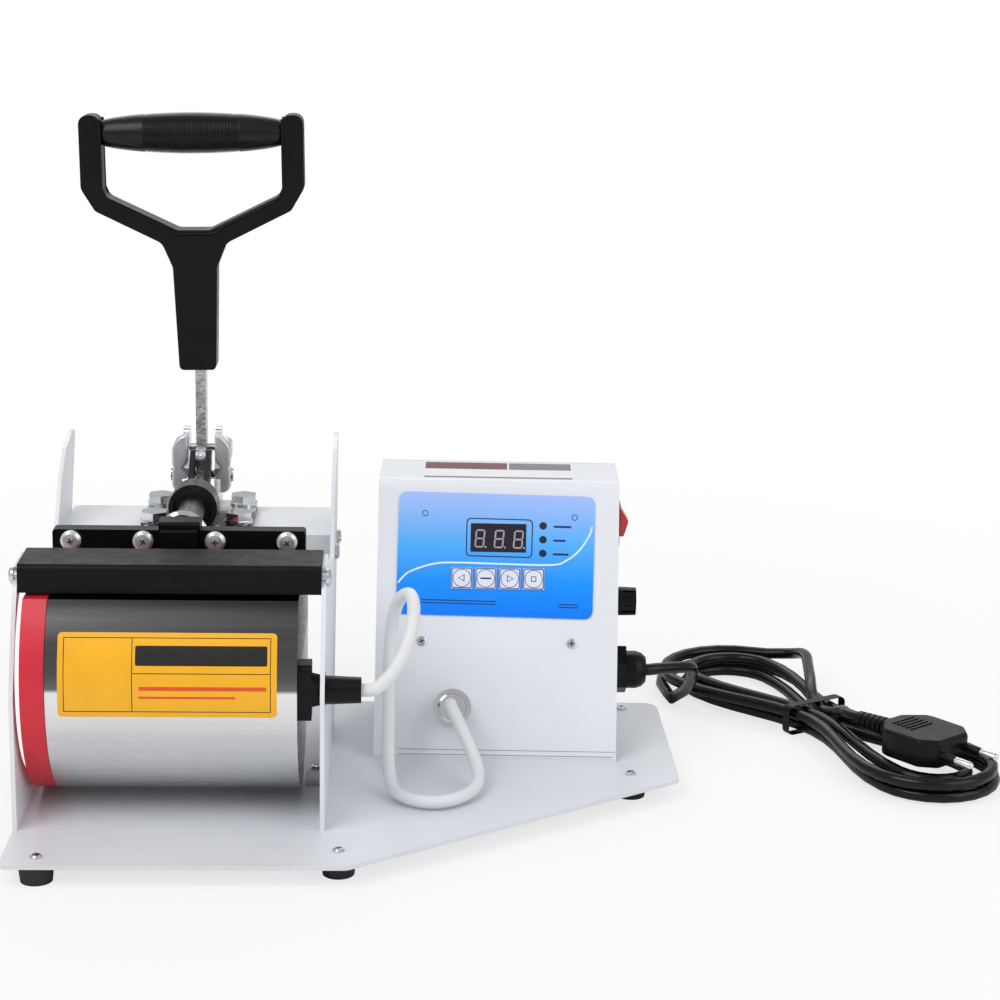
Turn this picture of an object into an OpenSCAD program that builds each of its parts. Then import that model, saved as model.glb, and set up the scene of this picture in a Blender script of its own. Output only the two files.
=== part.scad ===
// Mug heat press with a push-pull toggle clamp and a digital control box.
// Every piece is placed from the press centre: X to the right, Y to the back,
// Z up from the top face of the base sheet. The last step stands the whole
// machine on its feet, with the origin under the middle of its outline.

/* [Base] */
// Thickness of the base sheet
base_t = 2; // [1.5:0.5:4]
// Width of the base sheet
base_w = 305; // [300:5:330]
// Reach of the base in front of the press centre
base_front = 113; // [108:1:130]
// Reach of the base behind the press centre
base_rear = 104; // [104:1:125]
// Width of the cut-off front right corner
slant_w = 156; // [120:2:165]
// Depth of the cut-off front right corner
slant_d = 106; // [70:2:110]
// Corner radius of the base sheet
base_r = 6; // [2:1:10]
// Height of a rubber foot
foot_h = 8.5; // [6:0.5:15]
// Diameter of a rubber foot where it meets the base
foot_d = 16; // [13:0.5:20]
// Narrowing of a rubber foot towards the floor
foot_taper = 2; // [0:0.5:4]
// Distance of a foot's centre from the edges of the base
foot_inset = 14; // [11:1:20]

/* [Side plates] */
// Clear width between the side plates
press_w = 134; // [130:1:150]
// Thickness of a side plate
plate_t = 2; // [1.5:0.5:3]
// Reach of a side plate in front of the press centre
plate_front = 74; // [72:1:80]
// Height of the straight front edge
plate_front_h = 62; // [50:1:70]
// Height of the shoulder over the heater
shoulder_h = 115; // [115:1:120]
// Height of the fin that stands beside the clamp
fin_h = 137.5; // [130:0.5:150]
// Reach of the fin behind the press centre
fin_rear = 136.5; // [132:0.5:145]
// Radius of the round mug opening in the left plate
mug_hole_r = 51; // [47:0.5:52]
// Width of the slot for the mug's handle above that opening
handle_slot_w = 20; // [14:1:22]
// Width of the folded foot flange of a side plate
flange_w = 9; // [7:0.5:9]

/* [Heater] */
// Height of the heater's axis above the base sheet
heater_z = 61.5; // [61:0.5:64]
// Distance of the heater's axis in front of the press centre
heater_front = 17; // [15:0.5:19]
// Outer radius of the heater jacket
jacket_r = 58.5; // [56:0.5:59]
// Radius of the space that takes the mug
cavity_r = 42.5; // [40:0.5:43.5]
// Thickness of the silicone heating mat
mat_t = 3; // [2:0.5:3.5]
// Thickness of the spring band behind the mat
band_t = 1; // [0.6:0.1:1.5]
// Thickness of the jacket's sheet
jacket_t = 0.8; // [0.6:0.1:1.2]
// Length of the jacket
jacket_l = 110; // [100:1:112]
// Length of mat that stands out of the jacket's left end
mat_lip = 11; // [4:1:12]
// Radius of the cable boot
boot_r = 5.8; // [5:0.1:6.5]
// Length of the cable boot beyond its base
boot_l = 22; // [18:1:30]

/* [Jaws] */
// Length of the moving bar
bar_l = 116; // [110:1:124]
// Height of the moving bar
bar_h = 15.5; // [13:0.5:16]
// Thickness of the moving bar
bar_t = 8; // [6:0.5:9]
// Thickness of the fixed front bar
front_bar_t = 6; // [4:0.5:7]
// Gap for the mug's handle between the open jaws
jaw_gap = 30; // [28:0.5:30]
// Thickness of the front guard's sheet
guard_t = 2; // [1:0.5:2]
// Height of the guard's front face
guard_h = 12.8; // [10:0.2:14]
// Depth of the guard's top face
guard_d = 29; // [26:0.5:29]
// Width of the push block
block_w = 19; // [18:0.5:24]
// Diameter of the jaw screws' heads
jaw_screw_d = 9.5; // [7:0.5:10]

/* [Clamp] */
// Height of the plunger's axis above the base sheet
plunger_z = 114; // [113.5:0.5:116]
// Radius of the plunger
plunger_r = 6.3; // [5.5:0.1:6.5]
// Radius of the plunger's threaded front end
stud_r = 4; // [3:0.1:4.5]
// Outer radius of the clamp's barrel
barrel_r = 11.9; // [10.5:0.1:12.5]
// Outer radius of the adjusting wheel
wheel_r = 12; // [10:0.5:12]
// Thickness of the adjusting wheel
wheel_t = 5; // [3:0.5:5]
// Distance of the lever's pivot behind the press centre
pivot_y = 116; // [115:0.5:118]
// Height of the lever's pivot above the plunger's axis
pivot_rise = 4; // [2:0.5:5]
// Distance between the lever's two pins
crank_r = 12; // [11:0.5:13]
// Angle of the crank arm in front of the lever
crank_lead = 30; // [25:1:35]
// Length of a link between its pins
link_l = 24; // [23:0.5:26]
// Travel of the lever, from upright to pulled forward
lever_travel = 65; // [55:1:65]
// Thickness of the lever bar
lever_t = 5; // [4:0.5:6]
// Thickness of a link plate
link_t = 2.5; // [2:0.1:2.8]
// Half width of the clamp body over its ears
ear_x = 14.8; // [12:0.2:18]
// Thickness of the clamp's foot flange
clamp_foot_t = 4; // [3:0.5:5]
// Width of the clamp's foot flange
clamp_foot_w = 55; // [52:1:64]
// Distance between the bolts across the clamp's foot
bolt_span = 42; // [38:1:44]

/* [Handle] */
// Width of the handle over its posts
handle_w = 110; // [100:1:130]
// Height of the handle, stem to post top
handle_h = 127; // [110:1:140]
// Height of the handle's lower end above the lever's pivot
handle_rise = 55.5; // [50:0.5:80]
// Width of a post
post_w = 10.6; // [9:0.2:13]
// Thickness of the handle frame
handle_t = 14; // [10:0.5:20]
// Slack that lets the handle lean to the left
handle_lean = 1; // [0:0.1:2]
// Radius at the middle of the grip
grip_r = 10.2; // [8:0.2:14]
// Radius at the ends of the grip
grip_end_r = 5.8; // [4.5:0.1:7]

/* [Control box] */
// Width of the box
box_w = 118; // [112:1:124]
// Depth of the box at the bottom
box_d = 85; // [80:1:88]
// Height of the box
box_h = 129.4; // [115:0.2:145]
// How far the top of the front leans back
box_lean = 42; // [25:1:48]
// Sheet thickness of the box
box_t = 1.2; // [0.8:0.1:2]
// Turn of the box on the base
box_turn = 2; // [0:0.5:4]
// Width of the printed panel
panel_w = 96; // [90:1:104]
// Height of the printed panel
panel_h = 60; // [56:0.5:66]
// Skew of the printed panel
panel_skew = 0.7; // [0:0.1:1.5]
// Thickness of the printed panel
panel_t = 0.6; // [0.4:0.1:1]
// Width of the display window
window_w = 27.2; // [20:0.2:32]
// Height of the display window
window_h = 14; // [10:0.5:18]
// Size of a membrane key
key_w = 10.4; // [8:0.2:11]
// Distance between keys
key_pitch = 11.7; // [11.5:0.1:14]
// Travel of a membrane key
key_travel = 0.4; // [0.2:0.1:0.8]

/* [Leads] */
// Diameter of the mains lead
cord_d = 6; // [5:0.5:7]
// Diameter of the heater's lead
lead_d = 6; // [5:0.5:7]
// Length of the plug's body
plug_l = 38; // [32:1:45]
// Width of the plug's body
plug_w = 35; // [32:1:40]
// Thickness of the plug's body
plug_t = 14; // [12:0.5:16]
// Distance between the plug's pins
pin_gap = 19; // [17:0.5:19]
// Radius of a plug pin
pin_r = 2; // [1.8:0.1:2.4]
// Length of a plug pin
pin_l = 19; // [15:1:20]

/* [Hidden] */
$fn = 64;
eps = 0.01;

// ---- clearances ----
slip = 0.05;          // running fit of a pin or the plunger, on the radius
loose = 0.15;         // screw in its through hole, on the radius
side_gap = 0.3;       // beside a piece that moves
seat_gap = 0.3;       // between a soft piece and its seat

// ---- base ----
base_left = -(press_w / 2 + plate_t);
base_right = base_left + base_w;
slant_x = base_right - slant_w;
slant_y = slant_d - base_front;
m4_r = 2;
m4_head_r = 4;
m4_head_h = 2.4;
m3_r = 1.5;
m3_head_r = 2.6;
m3_head_h = 1.5;
m3_nut_r = 3.2;
m3_nut_h = 2.4;
foot_at = [
    [base_left + foot_inset + 1, -base_front + 9],
    [slant_x - 4, -base_front + foot_inset + 3],
    [base_right - foot_inset - 9, slant_y + 6.5],
    [base_right - foot_inset - 5, base_rear - foot_inset + 4],
    [base_left + foot_inset + 1, base_rear - foot_inset + 4]
];

// ---- side plates ----
plate_in = press_w / 2;
plate_out = plate_in + plate_t;
flange_at = [1];
tab_half = 16;
flange_hole_x = plate_in - flange_w / 2;

// ---- heater ----
axis_y = -heater_front;
mat_r = cavity_r + mat_t;
band_r = mat_r + band_t;
felt_r = jacket_r - jacket_t;
jacket_x1 = plate_in - 10;
jacket_x0 = jacket_x1 - jacket_l;
mat_x0 = jacket_x0 - mat_lip;
mat_x1 = jacket_x1 - 1;
boot_y = axis_y - band_r;
boot_z = heater_z + 1.5;
boot_base_h = 26;
boot_base_t = 6;
boot_base_d = 14;
boot_end = jacket_x1 + boot_base_t + boot_l;

// ---- jaws ----
bar_top = plunger_z + 7;
bar_bottom = bar_top - bar_h;
bar_front = -bar_t;
front_bar_back = bar_front - jaw_gap;
front_bar_y = front_bar_back - front_bar_t;
guard_front = -54;
guard_bottom = 104;
guard_top = guard_bottom + guard_h;
guard_back = guard_front + guard_d;
front_bar_top = guard_top - guard_t;
front_bar_bottom = guard_bottom - 0.5;
jaw_screw_at = [-49.5, -16.5, 16.5, 49.5];
jaw_screw_r = 2.5;
jaw_head_h = 3.3;
jaw_screw_z = bar_top - 5;
front_screw_z = front_bar_bottom + 5.5;
jacket_front_z = guard_bottom - 1.5;
jacket_rear_y = 28;
block_lip = 3.5;
block_back = 5;
block_top = plunger_z + 10.6;
block_lip_w = block_w - 2.2;
notch_z = plunger_z - wheel_r - 1.5;
flange_top = bar_top - 1;
wheel_y = block_back + side_gap + 0.1;
shoulder_y = wheel_y + wheel_t + side_gap;

// ---- toggle linkage ----
pivot_z = plunger_z + pivot_rise;
function crank_y(t) = pivot_y - crank_r * sin(crank_lead + t);
function crank_z(t) = pivot_z + crank_r * cos(crank_lead + t);
function link_drop(t) = asin((crank_z(t) - plunger_z) / link_l);
function rod_y(t) = crank_y(t) - link_l * cos(link_drop(t));
stroke = rod_y(0) - rod_y(lever_travel);
link_turn = link_drop(0) - link_drop(lever_travel);
// the plunger's pin, along and across the link, when both follow the lever at a steady rate
function link_miss(t) = let (
    q = link_drop(0) - link_turn * t / lever_travel,
    y = rod_y(0) - stroke * t / lever_travel - crank_y(t),
    z = plunger_z - crank_z(t)
) [-y * cos(q) - z * sin(q) - link_l, y * sin(q) - z * cos(q)];
echo(stroke = stroke, link_turn = link_turn, crank = [crank_y(0), crank_z(0)], rod = rod_y(0));
pin_big_r = 2.5;
pin_small_r = 2.2;
link_end_r = 5.2;
link_arm_r = 3.4;
link_play = 0.6;
link_slot = link_miss(0.56 * lever_travel);
lever_half = 5.5;
tongue_h = 10;
tongue_y = rod_y(0) - link_end_r - norm(link_slot) - 0.5;

// ---- clamp body ----
bridge_t = 2;
bridge_top = plunger_z - 16;
bridge_y0 = 72;
bridge_y1 = pivot_y + 12;
bridge_lip = 18;
bridge_ear = 12;
foot_y0 = bridge_y0 + 1;
foot_y1 = bridge_y1 - 2;
foot_top = bridge_top + clamp_foot_t;
bolt_y = [foot_y0 + 8, foot_y1 - 9];
bolt_r = 3;
bolt_head_r = 7;
bolt_head_h = 4;
barrel_y0 = 60;
barrel_y1 = rod_y(lever_travel) - link_end_r - 0.8;
mouth_r = 9.5;
mouth_d = 5;
link_out = lever_t / 2 + side_gap + link_t;
cheek_in = max(link_out, plunger_r) + side_gap;
cheek_t = 3;
wing_r = 4;
wing_gap = 1;
wing_mid_z = pivot_z + 4.9;
lobe_upper_z = pivot_z + 12.6;
lobe_upper_y = pivot_y + lever_half + pin_small_r + side_gap;
wing_top = lobe_upper_z + 5.2;
wing_bottom = pivot_z - 7.8;
ear_top = lobe_upper_z + 11;

// ---- handle ----
stem_z = pivot_z + handle_rise;
post_top = stem_z + handle_h;
grip_z = post_top - 9.2;
grip_x = handle_w / 2 - post_w;
socket_d = 30;

// ---- control box ----
box_edge = 28.6;
box_x = base_right - box_edge - box_w / 2;
box_y = 18;
tray_t = box_t;
box_z0 = tray_t;
lean_len = norm([box_lean, box_h - box_z0]);
lean_angle = atan2(box_lean, box_h - box_z0);
panel_v = 68.4;
panel_u = -1.5;
window_at = [0, 106.9];
frame_rim = 2.2;
lamp_x = 21.8;
lamp_at = [99.7, 106.4, 113.2];
lamp_r = 1.7;
key_v = 87;
key_names = ["left", "mode", "right", "stop"];
panel_screw_x = 36.6;
panel_screw_v = [55.9, 118];
panel_screw_r = 1.5;
panel_head_r = 2.4;
socket_x = -20.9;
socket_v = 24;
socket_r = 6;
socket_ring_r = 9;
side_y = 50;
rocker_z = 108;
fuse_z = 66.8;
gland_z = 31;
rocker_tilt = 8;
rocker_pivot = -3;
gland_hex = 21.3;
gland_out = 16.5;
board_t = 1.6;
board_gap = 6;

// ---- leads: route points above the floor, chosen by hand ----
floor_z = -(foot_h + base_t);
lead_pts = [
    [boot_end - 7, boot_y, boot_z], [boot_end, boot_y, boot_z],
    [boot_end + 7, boot_y + 0.5, boot_z + 1], [100, -60, 72], [106, -54, 84], [108, -44, 95], [106, -31, 98],
    [101, -19, 91], [98, -13, 76], [97, -12, 55], [97, -13, 34],
    [97, -19, 15], [99, -31, 5], [106, -43, 4], [118, -48, 4],
    [130, -42, 4], [138, -29, 5], [138, -14, 11]
];
hank_mid = [322.5, 86.5];
hank_dir = -60.5;
hank_len = 236;
fold_r = 18;
hank_step = 13.4;
waist_draw = 0.5;
waist_close = 5;
layer_step = 6.7;
hank_start = -0.23;
hank_end = 2.95;
tie_t = 0.4;
tie_w = 5;
tie_x = -9;
hank_z = floor_z + cord_d / 2 + tie_t + 0.8;
plug_from = [36, -8.5];
plug_dir = -52;
relief_l = 22;
plug_z = hank_z + layer_step + (cord_d + plug_t) / 2 + 0.4;
lie_z = floor_z + cord_d / 2 + 0.2;

// ---- the outline of the machine, without its leads ----
mid_x = (base_right - plate_out - m4_head_h) / 2;
mid_y = (max(fin_rear, bridge_y1) - base_front) / 2;

// ==== helpers ====
module stand() {
    translate([-mid_x, -mid_y, -floor_z]) children();
}
// a profile drawn as (Y, Z), swept along X
module yz(x, t) {
    translate([x, 0, 0]) rotate([90, 0, 90]) linear_extrude(t) children();
}
// a profile drawn as (X, Z), swept along Y
module xz(y, t) {
    translate([0, y + t, 0]) rotate([90, 0, 0]) linear_extrude(t) children();
}
module rod_x(r, x0, x1, y, z) {
    translate([x0, y, z]) rotate([0, 90, 0]) cylinder(r = r, h = x1 - x0);
}
module rod_y(r, y0, y1, x, z) {
    translate([x, y0, z]) rotate([-90, 0, 0]) cylinder(r = r, h = y1 - y0);
}
function unit(v) = v / norm(v);
// one corner of an outline, rounded to radius r
function corner(p, a, b, r) = r <= 0 ? [p] :
    let (
        u = unit(a - p),
        v = unit(b - p),
        half = acos(u * v) / 2,
        c = p + unit(u + v) * r / sin(half),
        s = p + u * r / tan(half) - c,
        e = p + v * r / tan(half) - c,
        a0 = atan2(s[1], s[0]),
        turn = ((atan2(e[1], e[0]) - a0 + 900) % 360) - 180
    )
    [for (i = [0 : 6]) c + r * [cos(a0 + turn * i / 6), sin(a0 + turn * i / 6)]];
function xy(p) = [p[0], p[1]];
// an outline whose points are [x, y, corner radius]
function rounded(pts) = let (n = len(pts)) [
    for (i = [0 : n - 1])
        each corner(xy(pts[i]), xy(pts[(i + n - 1) % n]), xy(pts[(i + 1) % n]), pts[i][2])
];
function block(x0, y0, x1, y1, r) =
    rounded([[x0, y0, r], [x1, y0, r], [x1, y1, r], [x0, y1, r]]);
// a pan head screw pointing down, its head's seat at z = 0
module pan_screw(r, head_r, head_h, l) {
    rotate_extrude() {
        polygon([[0, -l], [r, -l], [r, 0], [head_r, 0], [head_r, head_h * 0.45],
                 [head_r * 0.72, head_h * 0.88], [0, head_h]]);
    }
}

// ==== base ====
module base_plate() {
    outline = rounded([
        [base_left, -base_front, base_r - 2], [slant_x, -base_front, base_r],
        [base_right, slant_y, base_r], [base_right, base_rear, base_r + 2],
        [base_left, base_rear, base_r]
    ]);
    color("#e9e9e6") stand() difference() {
        translate([0, 0, -base_t]) linear_extrude(base_t) polygon(outline);
        for (p = foot_at) translate([p[0], p[1], -base_t - 1])
            cylinder(r = m3_r + loose, h = base_t + 2);
        for (s = [-1, 1], y = flange_at) translate([s * flange_hole_x, y, -base_t - 1])
            cylinder(r = m3_r + loose, h = base_t + 2);
        box_place() for (p = box_screw_at()) translate([p[0], p[1], -base_t - 1])
            cylinder(r = m3_r + loose, h = base_t + 2);
    }
}
module rubber_feet() {
    color("#141414") stand() for (p = foot_at) translate([p[0], p[1], floor_z])
        difference() {
            cylinder(d1 = foot_d - foot_taper, d2 = foot_d, h = foot_h);
            translate([0, 0, -1]) cylinder(r = m3_r + loose, h = foot_h + 2);
            translate([0, 0, -1]) cylinder(r = m3_nut_r + loose, h = m3_nut_h + 1.5);
        }
}
module foot_screws() {
    color("silver") stand() for (p = foot_at) translate([p[0], p[1], 0])
        pan_screw(m3_r, m3_head_r, m3_head_h, base_t + foot_h - 1);
}
module foot_nuts() {
    color("silver") stand() for (p = foot_at)
        translate([p[0], p[1], floor_z + 0.5]) difference() {
            cylinder(r = m3_nut_r, h = m3_nut_h, $fn = 6);
            translate([0, 0, -1]) cylinder(r = m3_r + slip, h = m3_nut_h + 2);
        }
}

// ==== side plates ====
module plate_outline(slot) {
    s0 = axis_y + 2 - handle_slot_w / 2;
    s1 = s0 + handle_slot_w;
    rear = [[60, 90, 8], [84, fin_h - 16.5, 14], [103, fin_h - 3.5, 10],
            [122, fin_h, 6], [fin_rear, fin_h, 3], [68, 0, 0]];
    front = [[-plate_front, 0, 0], [-plate_front, plate_front_h, 8],
             [-55, shoulder_h - 9, 10], [-44, shoulder_h, 6], [s0, shoulder_h, 2]];
    difference() {
        polygon(rounded(concat(front, [[s1, 104, 0]], rear)));
        if (slot) translate([axis_y, heater_z]) circle(r = mug_hole_r, $fn = 96);
        if (slot) translate([s0, heater_z]) square([handle_slot_w, shoulder_h]);
    }
}
module side_plate(side) {
    x = side < 0 ? -plate_out : plate_in;
    difference() {
        union() {
            yz(x, plate_t) plate_outline(side < 0);
            for (y = flange_at)
                translate([side < 0 ? -plate_in - eps : plate_in - flange_w, y - tab_half, 0])
                    cube([flange_w + eps, 2 * tab_half, plate_t]);
        }
        for (y = flange_at) translate([side * flange_hole_x, y, -1])
            cylinder(r = m3_r + loose, h = plate_t + 2);
        for (p = guard_hole_at()) rod_x(m4_r + loose, x - 1, x + plate_t + 1, p[0], p[1]);
        for (p = bridge_hole_at()) rod_x(m4_r + loose, x - 1, x + plate_t + 1, p[0], p[1]);
        if (side > 0) rod_x(boot_r + 2.2, x - 1, x + plate_t + 1, boot_y, boot_z);
    }
}
module left_side_plate() {
    color("#e9e9e6") stand() side_plate(-1);
}
module right_side_plate() {
    color("#e9e9e6") stand() side_plate(1);
}
module base_screws() {
    color("#3a3a3a") stand() {
        for (s = [-1, 1], y = flange_at) translate([s * flange_hole_x, y, plate_t])
            pan_screw(m3_r, m3_head_r, m3_head_h, plate_t + base_t);
        box_place() for (p = box_screw_at()) translate([p[0], p[1], tray_t])
            pan_screw(m3_r, m3_head_r, m3_head_h, tray_t + base_t);
    }
}

// ==== front jaw ====
function guard_hole_at() = [[guard_front + 6, guard_top - 6.4]];
function bridge_hole_at() =
    [[bridge_y0 + 10, bridge_top - 11], [bridge_y1 - 18, bridge_top - 11]];
module screw_pairs(at, reach) {
    for (p = at) {
        translate([plate_out, p[0], p[1]]) rotate([0, 90, 0])
            pan_screw(m4_r, m4_head_r, m4_head_h, reach);
        translate([-plate_out, p[0], p[1]]) rotate([0, -90, 0])
            pan_screw(m4_r, m4_head_r, m4_head_h, reach);
    }
}
module front_guard() {
    w = 2 * plate_in - 2 * slip;
    section = rounded([
        [guard_front, guard_bottom, 0], [guard_front, guard_top, 3],
        [guard_back, guard_top, 0], [guard_back, guard_top - guard_t, 0],
        [guard_front + guard_t, guard_top - guard_t, 1], [guard_front + guard_t, guard_bottom, 0]
    ]);
    color("#242528") stand() difference() {
        union() {
            yz(-w / 2, w) polygon(section);
            for (x = [-w / 2, w / 2 - guard_t]) yz(x, guard_t)
                polygon([[guard_front + guard_t - eps, guard_bottom],
                         [guard_front + guard_t - eps, guard_top - guard_t + eps],
                         [front_bar_y - slip, guard_top - guard_t + eps],
                         [front_bar_y - slip, guard_bottom]]);
        }
        for (p = guard_hole_at()) rod_x(m4_r + loose, -w, w, p[0], p[1]);
    }
}
module side_screws() {
    color("#2a2a2a") stand() {
        screw_pairs(guard_hole_at(), plate_t + guard_t + 2);
        screw_pairs(bridge_hole_at(), plate_t + bridge_t + 3);
    }
}
module front_bar() {
    w = 2 * plate_in - 2 * slip;
    color("#1f2022") stand() difference() {
        translate([-w / 2, front_bar_y, front_bar_bottom])
            cube([w, front_bar_t, front_bar_top - front_bar_bottom]);
        for (x = jaw_screw_at)
            rod_y(jaw_screw_r + slip, front_bar_y - 1, front_bar_back + 1, x, front_screw_z);
    }
}
module front_bar_screws() {
    color("silver") stand() for (x = jaw_screw_at)
        translate([x, front_bar_back + band_t, front_screw_z]) rotate([-90, 0, 0])
            pan_screw(jaw_screw_r, jaw_screw_d / 2, jaw_head_h, front_bar_t + band_t);
}

// ==== heater ====
module ring_2d(r0, r1) {
    difference() {
        circle(r = r1, $fn = 96);
        circle(r = r0, $fn = 96);
    }
}
// the part of a ring that the jaws leave open, as seen from the left
module mouth_2d(front_z, rear_y) {
    translate([-2 * jacket_r, front_z]) square([2 * jacket_r + axis_y, 2 * jacket_r]);
    translate([axis_y - eps, heater_z]) square([rear_y - axis_y, 2 * jacket_r]);
}
// a ring round the heater, cut back from the mouth by the distance inset
module jacket_ring(r0, r1, inset) {
    difference() {
        translate([axis_y, heater_z]) ring_2d(r0, r1);
        mouth_2d(jacket_front_z - inset, jacket_rear_y + inset);
    }
}
module heater_jacket() {
    color("#b9babd") stand() {
        difference() {
            yz(jacket_x0, jacket_l - jacket_t) jacket_ring(band_r + seat_gap, jacket_r, 0);
            yz(jacket_x0 + jacket_t, jacket_l - 2 * jacket_t)
                jacket_ring(band_r - 1, felt_r, jacket_t);
        }
        yz(jacket_x1 - jacket_t, jacket_t) difference() {
            translate([axis_y, heater_z]) circle(r = jacket_r, $fn = 96);
            translate([axis_y - 2 * jacket_r, jacket_front_z]) square(4 * jacket_r);
        }
    }
}
module insulation_felt() {
    g = seat_gap;
    color("#d9d2c0") stand() yz(jacket_x0 + jacket_t + g, jacket_l - 2 * jacket_t - 2 * g)
        jacket_ring(band_r + g, felt_r - g, jacket_t + g);
}
// the spring band: an open ring whose ends turn up to the two bars
module heater_band() {
    g = seat_gap / 2;
    front_y = front_bar_back;
    front_top = front_bar_top - 1;
    z_front = heater_z + sqrt(pow(mat_r + g, 2) - pow(front_y + band_t - axis_y, 2));
    z_rear = heater_z + sqrt(pow(mat_r + g, 2) - pow(axis_y, 2));
    color("#8d8f94") stand() difference() {
        yz(jacket_x0 + 2, jacket_l - 4) {
            difference() {
                translate([axis_y, heater_z]) ring_2d(mat_r + g, band_r);
                translate([front_y + band_t, heater_z])
                    square([-front_y - band_t, 2 * jacket_r]);
            }
            translate([front_y, z_front]) square([band_t, front_top - z_front]);
            translate([0, z_rear]) square([band_t, flange_top - z_rear]);
        }
        for (x = jaw_screw_at) {
            rod_y(jaw_screw_r + loose, front_y - 1, front_y + band_t + 1, x, front_screw_z);
            rod_y(jaw_screw_r + loose, -1, band_t + 1, x, jaw_screw_z);
        }
        wheel_way();
    }
}
// room for the adjusting wheel over the whole stroke
module wheel_way() {
    y0 = wheel_y - stroke - 1;
    translate([-block_w / 2 - 1, y0, notch_z]) cube([block_w + 2, shoulder_y + 1 - y0, 40]);
}
// the silicone mat, with a thick collar in front of the jacket's left end
module heating_mat() {
    color("#a5281f") stand() {
        difference() {
            yz(mat_x0, mat_x1 - mat_x0) difference() {
                translate([axis_y, heater_z]) ring_2d(cavity_r, mat_r);
                translate([front_bar_back + 3, heater_z])
                    square([-front_bar_back - 6, 2 * jacket_r]);
            }
            wheel_way();
        }
        yz(mat_x0, mat_lip - seat_gap) jacket_ring(mat_r - 0.5, jacket_r - seat_gap, 0);
    }
}
module cable_boot() {
    color("#17171a") stand() difference() {
        union() {
            yz(jacket_x1 + slip, boot_base_t - slip)
                polygon(block(boot_y - boot_base_d / 2, boot_z - boot_base_h / 2,
                              boot_y + boot_base_d / 2, boot_z + boot_base_h / 2, 3));
            translate([jacket_x1 + boot_base_t - 2, boot_y, boot_z]) rotate([0, 90, 0])
                rotate_extrude() polygon([[0, 0], [boot_r + 2.4, 0], [boot_r + 1.6, 3.5],
                    [boot_r + 0.7, 7.5], [boot_r, boot_l + 2], [0, boot_l + 2]]);
        }
        rod_x(lead_d / 2 + 0.2, boot_end - 8, boot_end + 1, boot_y, boot_z);
    }
}

// ==== rear bridge ====
module rear_bridge() {
    w = 2 * plate_in - 2 * slip;
    color("#e9e9e6") stand() difference() {
        union() {
            translate([-w / 2, bridge_y0, bridge_top - bridge_t])
                cube([w, bridge_y1 - bridge_y0, bridge_t]);
            translate([-w / 2, bridge_y0, bridge_top - bridge_lip])
                cube([w, bridge_t, bridge_lip]);
            translate([-w / 2, bridge_y0, bridge_top - bridge_lip])
                cube([bridge_t, bridge_y1 - bridge_y0 - 12, bridge_lip]);
            translate([w / 2 - bridge_t, bridge_y0, bridge_top - bridge_lip])
                cube([bridge_t, bridge_y1 - bridge_y0 - 12, bridge_lip]);
        }
        for (x = [-bolt_span / 2, bolt_span / 2], y = bolt_y)
            translate([x, y, bridge_top - bridge_t - 1]) cylinder(r = bolt_r + loose, h = bridge_t + 2);
        for (p = bridge_hole_at()) rod_x(m4_r + loose, -w, w, p[0], p[1]);
    }
}

// ==== moving jaw ====
module moving_bar() {
    color("#18191b") stand() difference() {
        xz(bar_front, bar_t)
            polygon(block(-bar_l / 2, bar_bottom, bar_l / 2, bar_top, 1.5));
        for (x = jaw_screw_at) rod_y(jaw_screw_r + slip, bar_front - 1, 1, x, jaw_screw_z);
        rod_y(stud_r + loose, bar_front - 1, 1, 0, plunger_z);
    }
}
module moving_bar_screws() {
    color("silver") stand() for (x = jaw_screw_at) {
        translate([x, bar_front, jaw_screw_z]) rotate([90, 0, 0])
            pan_screw(jaw_screw_r, jaw_screw_d / 2, jaw_head_h, bar_t + band_t + 3);
        difference() {
            rod_y(4.2, band_t + slip, band_t + 3, x, jaw_screw_z);
            rod_y(jaw_screw_r - eps, band_t, band_t + 4, x, jaw_screw_z);
        }
    }
}
module push_block() {
    color("#141517") stand() difference() {
        union() {
            yz(-block_w / 2, block_w) polygon(rounded([
                [bar_front, bar_top, 0], [bar_front, block_top, 1.6],
                [block_back, block_top, 1.6], [block_back, bar_bottom + 0.5, 0],
                [band_t + side_gap, bar_bottom + 0.5, 0], [band_t + side_gap, bar_top, 0]
            ]));
            yz(-block_lip_w / 2, block_lip_w) polygon(rounded([
                [bar_front - block_lip, bar_bottom, 0], [bar_front - block_lip, bar_top + 0.6, 1],
                [bar_front + 1, bar_top + 0.6, 0], [bar_front + 1, bar_top, 0],
                [bar_front, bar_top, 0], [bar_front, bar_bottom, 0]
            ]));
        }
        rod_y(stud_r + slip, bar_front - 2, block_back + 1, 0, plunger_z);
    }
}
module plunger() {
    color("#b9bcc0") stand() difference() {
        union() {
            rod_y(stud_r, bar_front - 1.5, shoulder_y + eps, 0, plunger_z);
            rod_y(plunger_r, shoulder_y, tongue_y, 0, plunger_z);
            yz(-lever_t / 2, lever_t) {
                translate([tongue_y - eps, plunger_z - tongue_h / 2])
                    square([rod_y(0) - tongue_y, tongue_h]);
                translate([rod_y(0), plunger_z]) circle(r = tongue_h / 2);
            }
        }
        rod_x(pin_small_r + slip, -lever_t, lever_t, rod_y(0), plunger_z);
    }
}
module plunger_pin() {
    color("silver") stand() rod_x(pin_small_r, -link_out, link_out, rod_y(0), plunger_z);
}
module adjusting_wheel() {
    color("#c9ccd0") stand() translate([0, wheel_y, plunger_z]) rotate([-90, 0, 0])
        rotate_extrude() polygon([
            [stud_r + slip, 0], [wheel_r - 1.2, 0], [wheel_r, 1.2],
            [wheel_r, wheel_t - 1.2], [wheel_r - 1.2, wheel_t], [stud_r + slip, wheel_t]
        ]);
}

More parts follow.
